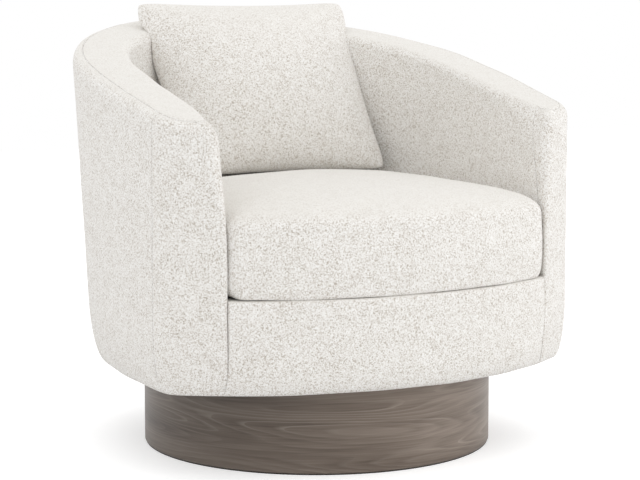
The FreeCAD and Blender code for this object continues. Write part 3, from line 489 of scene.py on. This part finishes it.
floorMesh = bpy.data.meshes.new("floor")
far = floorSettings["half"]
floorMesh.from_pydata([(-far, -far, 0), (far, -far, 0), (far, far, 0), (-far, far, 0)], [], [(0, 1, 2, 3)])
floorSheet = bpy.data.objects.new("floor", floorMesh)
bpy.context.scene.collection.objects.link(floorSheet)
floorPaint = bpy.data.materials.new("paleFloor")
floorPaint.use_nodes = True
floorTree = floorPaint.node_tree
floorTree.nodes.clear()
floorOut = addNode(floorTree, "OutputMaterial")
floorGrey = (floorSettings["grey"],) * 3 + (1,)
floorDiffuse = addNode(floorTree, "BsdfDiffuse", {"Color": floorGrey})
floorGlow = addNode(floorTree, "Emission", {"Color": white, "Strength": floorSettings["glow"]})
floorSum = addNode(floorTree, "AddShader", links={0: floorDiffuse, 1: floorGlow})
connect(floorTree, onlyDirect(floorTree, floorSum, floorDiffuse), floorOut, "Surface")
floorMesh.materials.append(floorPaint)

# The tub's outlines
tub = {
    "bottom": 0.136, "topLevel": 0.700,      # heights of the Low and High sizes
    # outside: half the width at the front corners, their radius, and the front's bow and its reach
    "cornerHalf": 0.374, "cornerRadius": 0.055, "bowRadius": 0.592, "frontReach": 0.331,
    # radii of the long side and the back, and how far back it reaches
    "sideLow": 1.396, "sideHigh": 1.450, "backLow": 0.360, "backHigh": 0.3835,
    "reachLow": 0.404, "reachHigh": 0.442,
    # the hem: rounded in this far over this height, and the rail's turned in this far below
    "hemTuck": 0.018, "hemRise": 0.100, "hemFold": 0.045,
    "seamTuck": 0.0030,      # how far the seam beside the front rail runs outwards at the hem
    "rimFront": 0.561, "rimBack": 0.706,
    # inside: half the width, how much less the back's radius is, the side's radius, and the reach back
    "seatLow": 0.2855, "seatHigh": 0.2860, "seatEase": 0.008, "seatSide": 1.300,
    "seatBackLow": 0.302, "seatBackHigh": 0.360,
    "innerLow": 0.2626,      # where the inside's cover starts, under the deck
    "edgeLow": 0.004, "edgeHigh": 0.020,     # radius of the arm front's inner edge, seen from above
    "edgeFrom": 0.36, "edgeTo": 0.54,        # heights between which it grows
    "noseDeep": 0.037,       # from the arm front to where the middle of the wall starts
    "rimRound": 0.019, "rimRoundIn": 0.013,  # radius along the rim's outer and inner edges
    "noseWide": 0.024, "noseDrop": 0.070,    # the same on the inside at the arm front: across and down
    "noseAhead": 0.045,      # from this far ahead of the rim's front corners
    "noseLength": 0.110,     # it falls back to rimRoundIn over this length
    "crown": 0.001,
    "hemReturn": 0.85, "returnRows": 4,      # the hem turns in under the wall by this share of its half
    "hemRows": 12, "wallRows": 36, "sideSteps": 12, "backSteps": 40,
    "rimRows": 24, "rimPack": 2.2,           # rows are packed towards the edge by this power
    "seamRow": 15, "seamDip": 0.0011, "seamSpread": 0.045,   # the rim's seam, 15 mm in from its outer edge
    "coverThick": 0.0025,
    "ripple": 0.0009, "rippleLength": 0.10,
}
bowY = tub["bowRadius"] - tub["frontReach"]
rimFrontY = bowY - math.sqrt(tub["bowRadius"] ** 2 - tub["cornerHalf"] ** 2)
rimSlope = (tub["rimBack"] - tub["rimFront"]) / (tub["reachHigh"] - rimFrontY)


def rimPlane(y):
    # the rim climbs evenly from the arms to the back
    return tub["rimFront"] + rimSlope * (y - rimFrontY)


def levelPart(z):
    # share of the way up to the level at which the upper sizes are given
    return (z - tub["bottom"]) / (tub["topLevel"] - tub["bottom"])


def outerCircles(z):
    # circles of the outside outline at height z, each tangent to the next: corner, long side, back
    part = levelPart(z)
    corner, bow = tub["cornerRadius"], tub["bowRadius"]
    side = mix(tub["sideLow"], tub["sideHigh"], part)
    back = mix(tub["backLow"], tub["backHigh"], part)
    cornerX = tub["cornerHalf"] - corner
    lean = math.asin(cornerX / (bow - corner))
    cornerY = bowY - (bow - corner) * math.cos(lean)
    backY = mix(tub["reachLow"], tub["reachHigh"], part) - back
    gapY = cornerY - backY
    apart = np.hypot(cornerX, gapY)
    along = ((side - back) ** 2 - (side - corner) ** 2 + apart ** 2) / (2 * apart)
    aside = np.sqrt((side - back) ** 2 - along ** 2)
    sideX = (along * cornerX + aside * gapY) / apart
    sideY = backY + (along * gapY - aside * cornerX) / apart
    start = np.arctan2(cornerY - sideY, cornerX - sideX)
    end = np.arctan2(backY - sideY, -sideX)
    return {"side": side, "back": back, "cornerX": cornerX, "cornerY": cornerY, "lean": lean,
            "backY": backY, "sideX": sideX, "sideY": sideY, "start": start, "end": end}


def innerCircles(z):
    # straight arms, long side arc and back arc of the inside at height z
    part = levelPart(z)
    wide = mix(tub["seatLow"], tub["seatHigh"], part)
    back = wide - tub["seatEase"]
    side = tub["seatSide"]
    backY = mix(tub["seatBackLow"], tub["seatBackHigh"], part) - back
    turn = np.arccos((side - wide) / (side - back))
    return {"wide": wide, "back": back, "side": side, "sideX": wide - side, "backY": backY,
            "sideY": backY - (side - back) * np.sin(turn), "turn": turn}


def armAndBack(c, startY, drop, number):
    # runs of x and y along the inside outline moved in by drop: the straight arm from startY in a number of
    # steps, its side arc and half the back
    counts = (number, tub["sideSteps"], tub["backSteps"])
    arm, side, back = (np.linspace(0, 1, count + 1)[1:] for count in counts)
    return [(c["wide"] - drop + 0 * arm, mix(startY, c["sideY"], arm)),
            around(c["sideX"], c["sideY"], c["side"] - drop, c["turn"] * side),
            around(0, c["backY"], c["back"] - drop, mix(c["turn"], math.pi / 2, back))]


def innerX(y, z):
    # half the width between the arms: even in front of sideY, on the side arc behind it
    c = innerCircles(z)
    arc = c["sideX"] + np.sqrt(np.maximum(c["side"] ** 2 - (y - c["sideY"]) ** 2, 0))
    return np.where(y > c["sideY"], arc, c["wide"])


# the wall's outline runs through eight zones on each hand: outside, arm front and inside
outerBack, outerArm, outerCorner, armFront, innerEdge, behindEdge, innerArm, innerBack = range(8)


def wallPoint(zone, part, z):
    # point, outward direction and middle of the wall for columns given by zone and part, at heights z
    out, inn = outerCircles(z), innerCircles(z)
    bow, corner = tub["bowRadius"], tub["cornerRadius"]
    edge = mix(tub["edgeLow"], tub["edgeHigh"], smoothStep(tub["edgeFrom"], tub["edgeTo"], z))
    # middle of the wall behind the arm front, and beside the corner
    noseX = (inn["wide"] + tub["cornerHalf"]) / 2
    noseY = bowY - np.sqrt(bow ** 2 - noseX ** 2) + tub["noseDeep"]
    besideX = (innerX(out["cornerY"], z) + out["sideX"] + out["side"] * np.cos(out["start"])) / 2
    besideY = (out["cornerY"] + out["sideY"] + out["side"] * np.sin(out["start"])) / 2
    # outside back, matched with the inside back by its share of the turn
    outTurn = mix(math.pi / 2, out["end"], part)
    inTurn = mix(math.pi / 2, inn["turn"], part)
    backOut = around(0, out["backY"], out["back"], outTurn)
    backIn = around(0, inn["backY"], inn["back"], inTurn)
    backMiddle = midway(backOut, backIn)
    # outside and inside of the arm, matched by share of length
    sideTurn = mix(out["end"], out["start"], part)
    sideOut = around(out["sideX"], out["sideY"], out["side"], sideTurn)
    tangentY = inn["backY"] + inn["back"] * np.sin(inn["turn"])
    armY = mix(tangentY, out["cornerY"], part)
    sideIn = (innerX(armY, z), armY)
    sideMiddle = midway(sideOut, sideIn)
    # outer corner
    cornerTurn = mix(out["start"], out["lean"] - math.pi / 2, part)
    cornerOut = around(out["cornerX"], out["cornerY"], corner, cornerTurn)
    cornerMiddle = (mix(besideX, noseX, part), mix(besideY, noseY, part))
    # rounded inner edge of the arm front, between the bow and the inside line
    edgeX = inn["wide"] + edge
    edgeY = bowY - np.sqrt((bow - edge) ** 2 - edgeX ** 2)
    edgeLean = np.arctan2(edgeX, bowY - edgeY)
    faceTurn = mix(out["lean"], edgeLean, part)
    face = (bow * np.sin(faceTurn), bowY - bow * np.cos(faceTurn))
    edgeTurn = mix(edgeLean - math.pi / 2, -math.pi, part)
    rounded = around(edgeX, edgeY, edge, edgeTurn)
    frontY = mix(edgeY, out["cornerY"], part)
    inside = (innerX(frontY, z), frontY)
    zero = 0 * z
    nose = (noseX + zero, noseY + zero)
    byZone = {
        outerBack: (backOut, around(0, 0, 1, outTurn), backMiddle),
        outerArm: (sideOut, around(0, 0, 1, sideTurn), sideMiddle),
        outerCorner: (cornerOut, around(0, 0, 1, cornerTurn), cornerMiddle),
        armFront: (face, (np.sin(faceTurn), -np.cos(faceTurn)), nose),
        innerEdge: (rounded, around(0, 0, 1, edgeTurn), nose),
        behindEdge: (inside, (zero - 1, zero), (mix(noseX, besideX, part), mix(noseY, besideY, part))),
        innerArm: (sideIn, (zero - 1, zero), sideMiddle),
        innerBack: (backIn, around(0, 0, -1, inTurn), backMiddle),
    }
    shape = np.broadcast(zone, part, z).shape
    point, away, middle = (np.zeros(shape + (2,)) for _ in range(3))
    for number, triple in byZone.items():
        for target, pair in zip((point, away, middle), triple):
            for axis in (0, 1):
                target[..., axis] = np.where(zone == number, pair[axis], target[..., axis])
    return point, away, middle


def outerDistance(x, y, z):
    # distance in from the outside outline: the nearest of its arcs that faces the point
    c = outerCircles(z)
    far = np.full(np.broadcast(x, y, z).shape, 1.0)      # for an arc that faces away
    bow = tub["bowRadius"] - np.hypot(x, bowY - y)
    best = np.where(np.arctan2(x, bowY - y) <= c["lean"], bow, far)
    turn = np.arctan2(y - c["cornerY"], x - c["cornerX"])
    corner = tub["cornerRadius"] - np.hypot(x - c["cornerX"], y - c["cornerY"])
    best = np.minimum(best, np.where((turn > c["lean"] - math.pi / 2) & (turn < c["start"]), corner, far))
    turn = np.arctan2(y - c["sideY"], x - c["sideX"])
    side = c["side"] - np.hypot(x - c["sideX"], y - c["sideY"])
    best = np.minimum(best, np.where((turn >= c["start"]) & (turn <= c["end"]), side, far))
    turn = np.arctan2(y - c["backY"], x)
    back = c["back"] - np.hypot(x, y - c["backY"])
    return np.maximum(np.minimum(best, np.where(turn >= c["end"], back, far)), 0)


def innerDistance(x, y, z):
    # distance out from the inside outline
    c = innerCircles(z)
    turn = np.arctan2(y - c["backY"], x)
    back = np.hypot(x, y - c["backY"]) - c["back"]
    side = np.hypot(x - c["sideX"], y - c["sideY"]) - c["side"]
    return np.maximum(np.where(turn >= c["turn"], back, np.where(y > c["sideY"], side, x - c["wide"])), 0)


def rimHeight(x, y, z):
    # the rim's plane, a slight crown, and a quarter round down along both edges, u in from the wall's face:
    # drop = b (1 - sqrt(1 - (1 - u / a)^2)), a across and b down
    out, inn = outerDistance(x, y, z), innerDistance(x, y, z)
    nose = 1 - smoothStep(0, 1, (y - rimFrontY + tub["noseAhead"]) / tub["noseLength"])
    width = np.maximum(out + inn, 0.001)     # never nothing
    total = rimPlane(y) - tub["crown"] + 4 * tub["crown"] * out * inn / width ** 2
    for distance, across, down in ((out, tub["rimRound"], tub["rimRound"]),
                                   (inn, mix(tub["rimRoundIn"], tub["noseWide"], nose),
                                    mix(tub["rimRoundIn"], tub["noseDrop"], nose))):
        left = np.clip(1 - distance / across, 0, 1)
        total = total - down * (1 - np.sqrt(1 - left ** 2))
    return total


def hemInset(z, tuck):
    # the hem's quarter round at height z: tuck (1 - sqrt(1 - (1 - (z - bottom) / rise)^2))
    left = np.clip(1 - (z - tub["bottom"]) / tub["hemRise"], 0, 1)
    return tuck * (1 - np.sqrt(1 - left ** 2))


def wallGrid(zones, parts, hands, folded):
    # rows climb the wall, then run over the rim to its middle; columns run round the tub. Each row is a
    # height, an inset and its share of the way to the wall's middle
    zone, part = np.array(zones)[None, :], np.array(parts)[None, :]
    top = np.full(zone.shape, tub["rimFront"] - tub["crown"])
    for _ in range(4):
        point, away, middle = wallPoint(zone, part, top)
        top = rimHeight(point[..., 0], point[..., 1], top)
    rows = []
    start = tub["innerLow"]
    if not folded:
        rows.append((np.full(top.shape, start), 0, 0))
    else:
        low, rise = tub["bottom"], tub["hemRise"]
        # the hem is tucked in all round, and less round the arm front's inner edge, which meets the rail
        tuck = np.where(zone >= innerEdge, tub["seamTuck"], tub["hemTuck"])
        for share in np.linspace(tub["hemReturn"], 0, tub["returnRows"] + 1)[:-1]:
            rows.append((np.full(top.shape, low), tuck, share))
        for turn in np.linspace(0, math.pi / 2, tub["hemRows"] + 1):
            height = np.full(top.shape, low + rise * (1 - math.cos(turn)))
            rows.append((height, tuck * (1 - math.sin(turn)), 0))
        start = low + rise
    for share in np.linspace(0, 1, tub["wallRows"] + 1)[1:]:
        rows.append((mix(start, top, share), 0, 0))
    grid = []
    for z, inset, share in rows:
        point, away, middle = wallPoint(zone, part, z)
        if np.ndim(inset):
            point = point - away * inset[..., None]
        if np.ndim(inset) and np.any(zone == innerEdge):
            # the arm front's hem stops at its inner edge, and nothing beside the rail lies ahead of it
            first = np.argmax(zone[0] == innerEdge)
            onFront = zone == armFront
            x = np.where(onFront, np.maximum(point[..., 0], point[0, first, 0]), point[..., 0])
            face = bowY - np.sqrt((tub["bowRadius"] - inset[0, first - 1]) ** 2 - x ** 2)
            beside = (zone >= armFront) & (zone <= behindEdge)
            y = np.where(beside, np.maximum(point[..., 1], face), point[..., 1])
            point = np.dstack([x, np.where(onFront, face, y)])
        grid.append(np.dstack([mix(point, middle, share), z]))
    seamShare = tub["seamRow"] / tub["rimRows"]
    for t in np.linspace(0, 1, tub["rimRows"] + 1)[1:]:
        z = top
        for _ in range(3):
            point, away, middle = wallPoint(zone, part, z)
            flat = mix(point, middle, t ** tub["rimPack"])
            z = rimHeight(flat[..., 0], flat[..., 1], z)
        dip = tub["seamDip"] * math.exp(-abs(t - seamShare) / tub["seamSpread"]) * (zone <= armFront)
        grid.append(np.dstack([flat, z - dip]))
    grid = np.concatenate(grid, axis=0)
    grid[..., 0] *= np.array(hands)[None, :]
    return grid


def wallInside(grid):
    # a point in the middle of the wall for each grid point, to tell outside from inside
    underRim = 0.02
    inner = np.repeat(grid[-1:], grid.shape[0], axis=0)
    inner[..., 2] = grid[..., 2] - underRim
    return inner


def columns(*runs):
    # runs of hand, zone, first part, last part and number, end to end, with no column twice
    zones, parts, hands = [], [], []
    for hand, zone, start, end, number in runs:
        for share in np.linspace(start, end, number):
            if zones and (zones[-1], parts[-1], hands[-1]) == (zone, share, hand):
                continue
            zones.append(zone)
            parts.append(share)
            hands.append(hand)
    return zones, parts, hands


def tubPiece(name, grids):
    # covers of the tub are rippled by place alone, so that neighbours still meet
    pairs = [(rippled(grid, tub["ripple"], tub["rippleLength"]), wallInside(grid)) for grid in grids]
    return thicken(meshFromGrids(name, pairs), tub["coverThick"])


print("stage: tub covers")
# the outside stops at the rim's seam, and the inside's cover runs over the rim to meet it
belowSeam = tub["seamRow"] - tub["rimRows"]
wallColumns, faceColumns, edgeColumns = 61, 31, 9
frontColumns = 19
seamColumn = 3               # the column behind the inner edge at which the arm front's cover ends
seamPart = seamColumn / (frontColumns - 1)
outerColumns = columns((1, outerArm, 1, 0, wallColumns), (1, outerBack, 1, 0, wallColumns),
                       (-1, outerBack, 0, 1, wallColumns), (-1, outerArm, 0, 1, wallColumns))
outerGrid = wallGrid(*outerColumns, folded=True)
outerCover = tubPiece("outerCover", [outerGrid[:belowSeam]])
dress(outerCover, creamBoucle, "boucle", "tub", "outer_cover", "outer_wadding")

behindSeam = frontColumns - seamColumn
innerColumns = columns((1, behindEdge, seamPart, 1, behindSeam), (1, innerArm, 1, 0, wallColumns),
                       (1, innerBack, 1, 0, wallColumns), (-1, innerBack, 0, 1, wallColumns),
                       (-1, innerArm, 0, 1, wallColumns), (-1, behindEdge, 1, seamPart, behindSeam))
rimGrids = [wallGrid(*innerColumns, folded=False), outerGrid[belowSeam - 1:]]
for hand, sideName in ((-1, "Left"), (1, "Right")):
    armColumns = columns((hand, outerCorner, 0, 1, frontColumns), (hand, armFront, 0, 1, faceColumns),
                         (hand, innerEdge, 0, 1, edgeColumns),
                         (hand, behindEdge, 0, seamPart, seamColumn + 1))
    armGrid = wallGrid(*armColumns, folded=True)
    armCover = tubPiece("armFrontCover" + sideName, [armGrid[:belowSeam]])
    dress(armCover, creamBoucle, "boucle", "tub", "arm_front_cover_" + sideName.lower(),
          "arm_front_pad_" + sideName.lower())
    rimGrids.append(armGrid[belowSeam - 1:])

innerCover = tubPiece("innerCover", rimGrids)
dress(innerCover, creamBoucle, "boucle", "tub", "inner_cover", "inner_foam", "rim_pad")

# Front rail
print("stage: front rail")
rail = {
    "top": 0.2836, "gap": 0.0006, "endRound": 0.0025, "topRound": 0.006, "back": 0.056, "hemRise": 0.05,
    "belly": 0.0012,         # how far the middle of its face stands out
    "flap": 0.030,           # turned back at each end
    "meetFrom": 0.235, "meetTo": 0.285,   # X between which the hem changes to the arm's
    "foldRows": 4, "hemRows": 12, "faceRows": 13, "roundRows": 5, "columns": 80,
    "topShares": (0.3, 0.65, 1.0),   # rows over its top, as shares of the way back
    "heart": (-0.20, 0.21),  # y and z inside the rail
}


def railGrid():
    # columns run along the bow, with a flap turned back at each end; rows climb from the folded hem over the
    # top. Each row is a height and an inset
    end, edge = rail["endRound"], rail["topRound"]
    low, high = tub["bottom"] + rail["hemRise"], rail["top"]
    turns = np.linspace(0, math.pi / 2, rail["roundRows"] + 1)
    folds = np.linspace(tub["hemFold"], tub["hemTuck"], rail["foldRows"] + 1)[:-1]
    profile = [(tub["bottom"], inset) for inset in folds]
    for t in np.linspace(0, math.pi / 2, rail["hemRows"] + 1):
        height = tub["bottom"] + rail["hemRise"] * (1 - math.cos(t))
        profile.append((height, tub["hemTuck"] * (1 - math.sin(t))))
    for share in np.linspace(0, 1, rail["faceRows"] + 1)[1:]:
        profile.append((mix(low, high - edge, share), -rail["belly"] * math.sin(math.pi * share)))
    for t in turns[1:]:
        profile.append((high - edge + edge * math.sin(t), edge * (1 - math.cos(t))))
    profile += [(high, mix(edge, rail["back"], share)) for share in rail["topShares"]]
    z, inset = (np.array(column)[:, None] for column in zip(*profile))
    half = innerCircles(z)["wide"] + hemInset(z, tub["seamTuck"]) - rail["gap"]
    # how far each end's columns lie back and in: three of flap, then the rounded end
    flap = np.array([rail["flap"], rail["flap"] / 2, 0]) + end
    setBack = np.concatenate([flap, end * (1 - np.cos(turns[::-1]))])
    setIn = np.concatenate([0 * flap, end * (1 - np.sin(turns[::-1]))])
    endBack = setBack[None, :] + 0 * z
    xEnd = half - setIn[None, :]
    xMid = (half - end) * np.linspace(-1, 1, rail["columns"] + 1)[None, 1:-1]
    x = np.concatenate([-xEnd, xMid, xEnd[:, ::-1]], axis=1)
    back = np.concatenate([endBack, 0 * xMid, endBack[:, ::-1]], axis=1)
    # towards its ends the hem takes the arm's wider quarter round
    ends = smoothStep(rail["meetFrom"], rail["meetTo"], np.abs(x))
    back = back + ends * np.maximum(hemInset(z, tub["hemTuck"]) - np.maximum(inset, 0), 0)
    radius = tub["bowRadius"] - inset
    y = bowY - np.sqrt(radius ** 2 - x ** 2) + back
    return np.dstack([x, y, z + 0 * x])


railPoints = railGrid()
railInside = railPoints.copy()
railInside[..., 1:] = rail["heart"]
railPair = (rippled(railPoints, tub["ripple"], tub["rippleLength"]), railInside)
frontRailCover = meshFromGrids("frontRailCover", [railPair])
thicken(frontRailCover, tub["coverThick"])
dress(frontRailCover, creamBoucle, "boucle", "tub", "front_rail_cover", "front_rail_pad")

# Seat cushion
print("stage: seat cushion")
seat = {
    "bottom": 0.2840, "top": 0.447, "shoulder": 0.385, "gap": 0.0012,
    # radii of the front corners, with their growth per inset, and round the underside
    "corner": 0.034, "cornerGrowth": 0.10, "foot": 0.007,
    "crownIn": 2.2, "crownOut": 2.6,         # powers of the crown above the shoulder
    "bulge": 0.004, "bulgeFrom": -0.15, "bulgeTo": -0.26,      # of its front, full in at the second y
    "centre": (0.0, -0.02),
    "sag": 0.016, "sagFrom": 0.04, "sagTo": 0.20, "sagEdge": 0.12,     # sat in towards the back
    # the lower front corners: lifted, drawn in, and where that starts and is full along x and y
    "pinch": 0.006, "pinchIn": 0.0036, "pinchHigh": 0.010,
    "pinchX": (0.257, 0.284), "pinchY": (-0.15, -0.21),
    "frontSteps": 30, "cornerSteps": 12, "armSteps": 8,
    "underRows": 7, "footRows": 5, "sideRows": 11, "crownRows": 39, "crownPack": 2.2,
    "ripple": 0.0012, "rippleLength": 0.09,
    "heart": 0.36,           # height of its middle
}


def seatOutline(z, inset):
    # outline of the cushion at height z, moved in by inset: bow, corner, straight side, side arc, back arc
    c = innerCircles(np.minimum(z, seat["shoulder"]))
    drop = seat["gap"] + inset
    corner = seat["corner"] + seat["cornerGrowth"] * np.maximum(inset, 0)
    bow = tub["bowRadius"]
    middleY = bowY + np.maximum(inset, 0) + seat["gap"]
    half = c["wide"] - drop
    lean = np.arcsin((half - corner) / (bow - corner))
    cornerY = middleY - (bow - corner) * np.cos(lean)
    turn = lean * np.linspace(0, 1, seat["frontSteps"] + 1)
    front = (bow * np.sin(turn), middleY - bow * np.cos(turn))
    turn = mix(lean - math.pi / 2, 0, np.linspace(0, 1, seat["cornerSteps"] + 1)[1:])
    return bothHands([front, around(half - corner, cornerY, corner, turn)]
                     + armAndBack(c, cornerY, drop, seat["armSteps"]))


def crownRise(k):
    # share of the crown's height at share k of the way in: (1 - (1 - k)^crownIn)^(1 / crownOut)
    return (1 - (1 - k) ** seat["crownIn"]) ** (1 / seat["crownOut"])


def seatSag(y, k):
    # how far the crown is sat in: nothing at its edge and in front, most towards the back
    return seat["sag"] * smoothStep(seat["sagFrom"], seat["sagTo"], y) * smoothStep(0, seat["sagEdge"], k)


def seatGrid():
    # rows from the middle of the underside, round the foot, up the side and over the crown to its middle.
    # Each is a height, an inset and its share of the way to the centre
    low, foot, shoulder = seat["bottom"], seat["foot"], seat["shoulder"]
    rows = [(low, foot, k) for k in np.linspace(1, 0, seat["underRows"] + 1)[:-1]]
    for t in np.linspace(0, math.pi / 2, seat["footRows"] + 1):
        rows.append((low + foot * (1 - math.cos(t)), foot * (1 - math.sin(t)), 0))
    for share in np.linspace(0, 1, seat["sideRows"] + 1)[1:]:
        rows.append((mix(low + foot, shoulder, share), 0, 0))
    for t in np.linspace(0, 1, seat["crownRows"] + 1)[1:]:
        k = t ** seat["crownPack"]
        rows.append((mix(shoulder, seat["top"], crownRise(k)), 0, k))
    z, inset, pull = (np.array(column)[:, None] for column in zip(*rows))
    x, y = seatOutline(z, inset)
    belly = np.sin(np.pi * np.clip((z - low) / (shoulder - low), 0, 1)) * (pull == 0)
    y = y - seat["bulge"] * belly * smoothStep(seat["bulgeFrom"], seat["bulgeTo"], y)
    x = mix(x, seat["centre"][0], pull)
    y = mix(y, seat["centre"][1], pull)
    z = z + 0 * x
    pinch = smoothStep(*seat["pinchX"], np.abs(x)) ** 2 * smoothStep(*seat["pinchY"], y)
    pinch = pinch * np.exp(-((z - low) / seat["pinchHigh"]) ** 2)
    z = z + seat["pinch"] * pinch
    x = x - seat["pinchIn"] * pinch * np.sign(x)
    z = z - np.where(z > shoulder, seatSag(y, pull), 0)
    return np.dstack([x, y, z])


seatPoints = seatGrid()
seatInside = seatPoints * 0 + np.array([0, 0, seat["heart"]])
seatPair = (rippled(seatPoints, seat["ripple"], seat["rippleLength"], seed=3), seatInside)
seatCushion = meshFromGrids("seatCushion", [seatPair], loop=True)
dress(seatCushion, creamBoucle, "boucle", "seat_cushion", "seat_cushion_cover", "seat_cushion_foam")

# Lining on the deck under the cushion
print("stage: deck lining")
deck = {
    "top": 0.2836, "thick": 0.0025, "gap": 0.0006,
    "back": 0.0565,          # its front edge, behind the bow
    "under": 0.0012,         # its face lies this far under the rail's top
    "dish": 0.0012,
    "stitch": 0.0016, "stitchAt": 0.12, "stitchWide": 0.02,    # depth, and shares of the way to the middle
    "centreY": 0.02,
    "frontSteps": 40, "armSteps": 20, "rows": 30,
}


def deckGrid():
    # outline of the inside behind the front rail's cover, drawn in to the middle, with a shallow dish and a
    # line of stitches round it
    c = innerCircles(deck["top"])
    reach = tub["bowRadius"] - deck["back"]
    half = c["wide"] - deck["gap"]
    lean = math.asin(half / reach)
    turn = lean * np.linspace(0, 1, deck["frontSteps"] + 1)
    front = (reach * np.sin(turn), bowY - reach * np.cos(turn))
    x, y = bothHands([front] + armAndBack(c, front[1][-1], deck["gap"], deck["armSteps"]))
    pull = np.linspace(0, 1, deck["rows"] + 1)[:, None]
    x, y = mix(x[None, :], 0, pull), mix(y[None, :], deck["centreY"], pull)
    stitches = deck["stitch"] * np.exp(-((pull - deck["stitchAt"]) / deck["stitchWide"]) ** 2)
    z = deck["top"] - deck["under"] - deck["dish"] * np.sin(math.pi * pull) - stitches + 0 * x
    return np.dstack([x, y, z])


deckPoints = deckGrid()
deckInside = deckPoints - np.array([0, 0, deck["top"] / 2])
deckLining = meshFromGrids("deckLining", [(deckPoints, deckInside)], loop=True)
thicken(deckLining, deck["thick"] - deck["under"])
dress(deckLining, cottonLining, "deck_fabric", "tub", "deck_cover", "deck_pad")

# Pillow
print("stage: pillow")
pillow = {
    "halfWide": 0.205, "halfHigh": 0.1743, "halfThick": 0.082,
    "drawIn": 0.045, "waist": 0.065,         # how far its edges are drawn in between the corners
    "fat": 0.55,             # power of the thickness: less is fuller near the edge
    "cornerPull": 0.04, "cornerPower": 12,   # how far the corners are rounded off, and how near to them
    "foot": (0.022, 0.158, 0.431),   # middle of the lower edge
    "nudge": 0.014,          # how far the tub's wall pushes its left side in, below the rim
    "nudgeHigh": 0.7, "nudgeLow": -0.1,      # shares of half its height where that starts and is full
    "leanLow": 38.0, "leanHigh": 25.0,       # degrees
    "turn": -2.0, "turnY": 0.25,     # degrees, about this y
    "gap": 0.0006,
    "rimAbove": 0.012, "rimBelow": -0.020,   # over the rim's plane: the back presses fully below the second
    "lines": 97, "evenShare": 0.35,  # grid lines each way, and how evenly they lie
}


def seatTop(x, y):
    # height of the cushion's crown under a point, from its own grid's rule, by share of the way to the edge
    centreX, centreY = seat["centre"]
    edgeX, edgeY = seatOutline(np.full((1, 1), seat["shoulder"]), np.zeros((1, 1)))
    angle = np.arctan2(edgeY[0] - centreY, edgeX[0] - centreX)
    reach = np.hypot(edgeX[0] - centreX, edgeY[0] - centreY)
    order = np.argsort(angle)
    edge = np.interp(np.arctan2(y - centreY, x - centreX), angle[order], reach[order], period=2 * math.pi)
    k = np.clip(1 - np.hypot(x - centreX, y - centreY) / edge, 0, 1)
    return mix(seat["shoulder"], seat["top"], crownRise(k)) - seatSag(y, k)


def pillowGrid():
    # two sheets over a square a, b in [-1, 1], joined at the edge: thickness falls as
    # ((1 - a^2)(1 - b^2))^fat, and the sides are drawn in between the corners. The sheet then follows a line
    # that leans back less upwards
    even = np.linspace(-1, 1, pillow["lines"])
    s = mix(np.sin(even * math.pi / 2), even, pillow["evenShare"])
    a, b = np.meshgrid(s, s)
    pull = 1 - pillow["cornerPull"] * (a * b) ** pillow["cornerPower"]
    x = pillow["halfWide"] * a * (1 - pillow["drawIn"] * (1 - b ** 2)) * pull
    nudge = smoothStep(0, 1, -a) * smoothStep(-pillow["nudgeHigh"], -pillow["nudgeLow"], -b)
    x = x + pillow["nudge"] * nudge
    up = pillow["halfHigh"] * b * (1 - pillow["waist"] * (1 - a ** 2)) * pull
    thick = pillow["halfThick"] * np.maximum((1 - a ** 2) * (1 - b ** 2), 0) ** pillow["fat"]
    low, high = math.radians(pillow["leanLow"]), math.radians(pillow["leanHigh"])
    lean = mix(low, high, (up / pillow["halfHigh"] + 1) / 2)
    # integrals of sin and cos of an angle that changes evenly along the height
    length = 2 * pillow["halfHigh"]
    run = length * (np.cos(low) - np.cos(lean)) / (high - low)
    climb = length * (np.sin(lean) - np.sin(low)) / (high - low)
    footX, footY, footZ = pillow["foot"]
    turn = math.radians(pillow["turn"])
    sheets = []
    for way in (-1, 1):
        y = footY + run + way * thick * np.cos(lean) - pillow["turnY"]
        z = footZ + climb - way * thick * np.sin(lean)
        turnedX = x * math.cos(turn) - y * math.sin(turn)
        turnedY = x * math.sin(turn) + y * math.cos(turn) + pillow["turnY"]
        sheets.append(np.dstack([footX + turnedX, turnedY, z]))
    return sheets


def pressed(points):
    # draws points in to the curved back below the rim, and lifts them onto the cushion
    x, y, z = points[..., 0], points[..., 1], points[..., 2]
    c = innerCircles(z)
    reach = np.hypot(x, y - c["backY"])
    room = c["back"] - pillow["gap"]
    tooFar = np.where((y > c["backY"]) & (reach > room), room / np.maximum(reach, 1e-6), 1.0)
    below = smoothStep(pillow["rimAbove"], pillow["rimBelow"], z - rimPlane(y))
    scale = mix(1.0, tooFar, below)
    x, y = x * scale, c["backY"] + (y - c["backY"]) * scale
    z = np.maximum(z, seatTop(x, y) + pillow["gap"])
    return np.stack([x, y, z], axis=-1)


def pillowMesh():
    # front and back sheet in one mesh, their quads turned opposite ways
    front, back = pillowGrid()
    rows, cols = front.shape[:2]
    points = pressed(np.concatenate([front.reshape(-1, 3), back.reshape(-1, 3)]))
    index = np.arange(rows * cols).reshape(rows, cols)
    corners = [index[:-1, :-1], index[:-1, 1:], index[1:, 1:], index[1:, :-1]]
    quads = np.stack(corners, axis=-1).reshape(-1, 4)
    faces = np.concatenate([quads, quads[:, ::-1] + rows * cols])
    mesh = bpy.data.meshes.new("pillow")
    mesh.from_pydata(points.tolist(), [], faces.tolist())
    return finishMesh("scatterPillow", mesh)


scatterPillow = pillowMesh()
dress(scatterPillow, creamBoucle, "boucle", "pillow", "pillow_cover", "pillow_insert")

for thing in bpy.data.objects:
    if thing.type == "MESH" and "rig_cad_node" not in thing:
        print("piece", thing.name, "faces", len(thing.data.polygons))
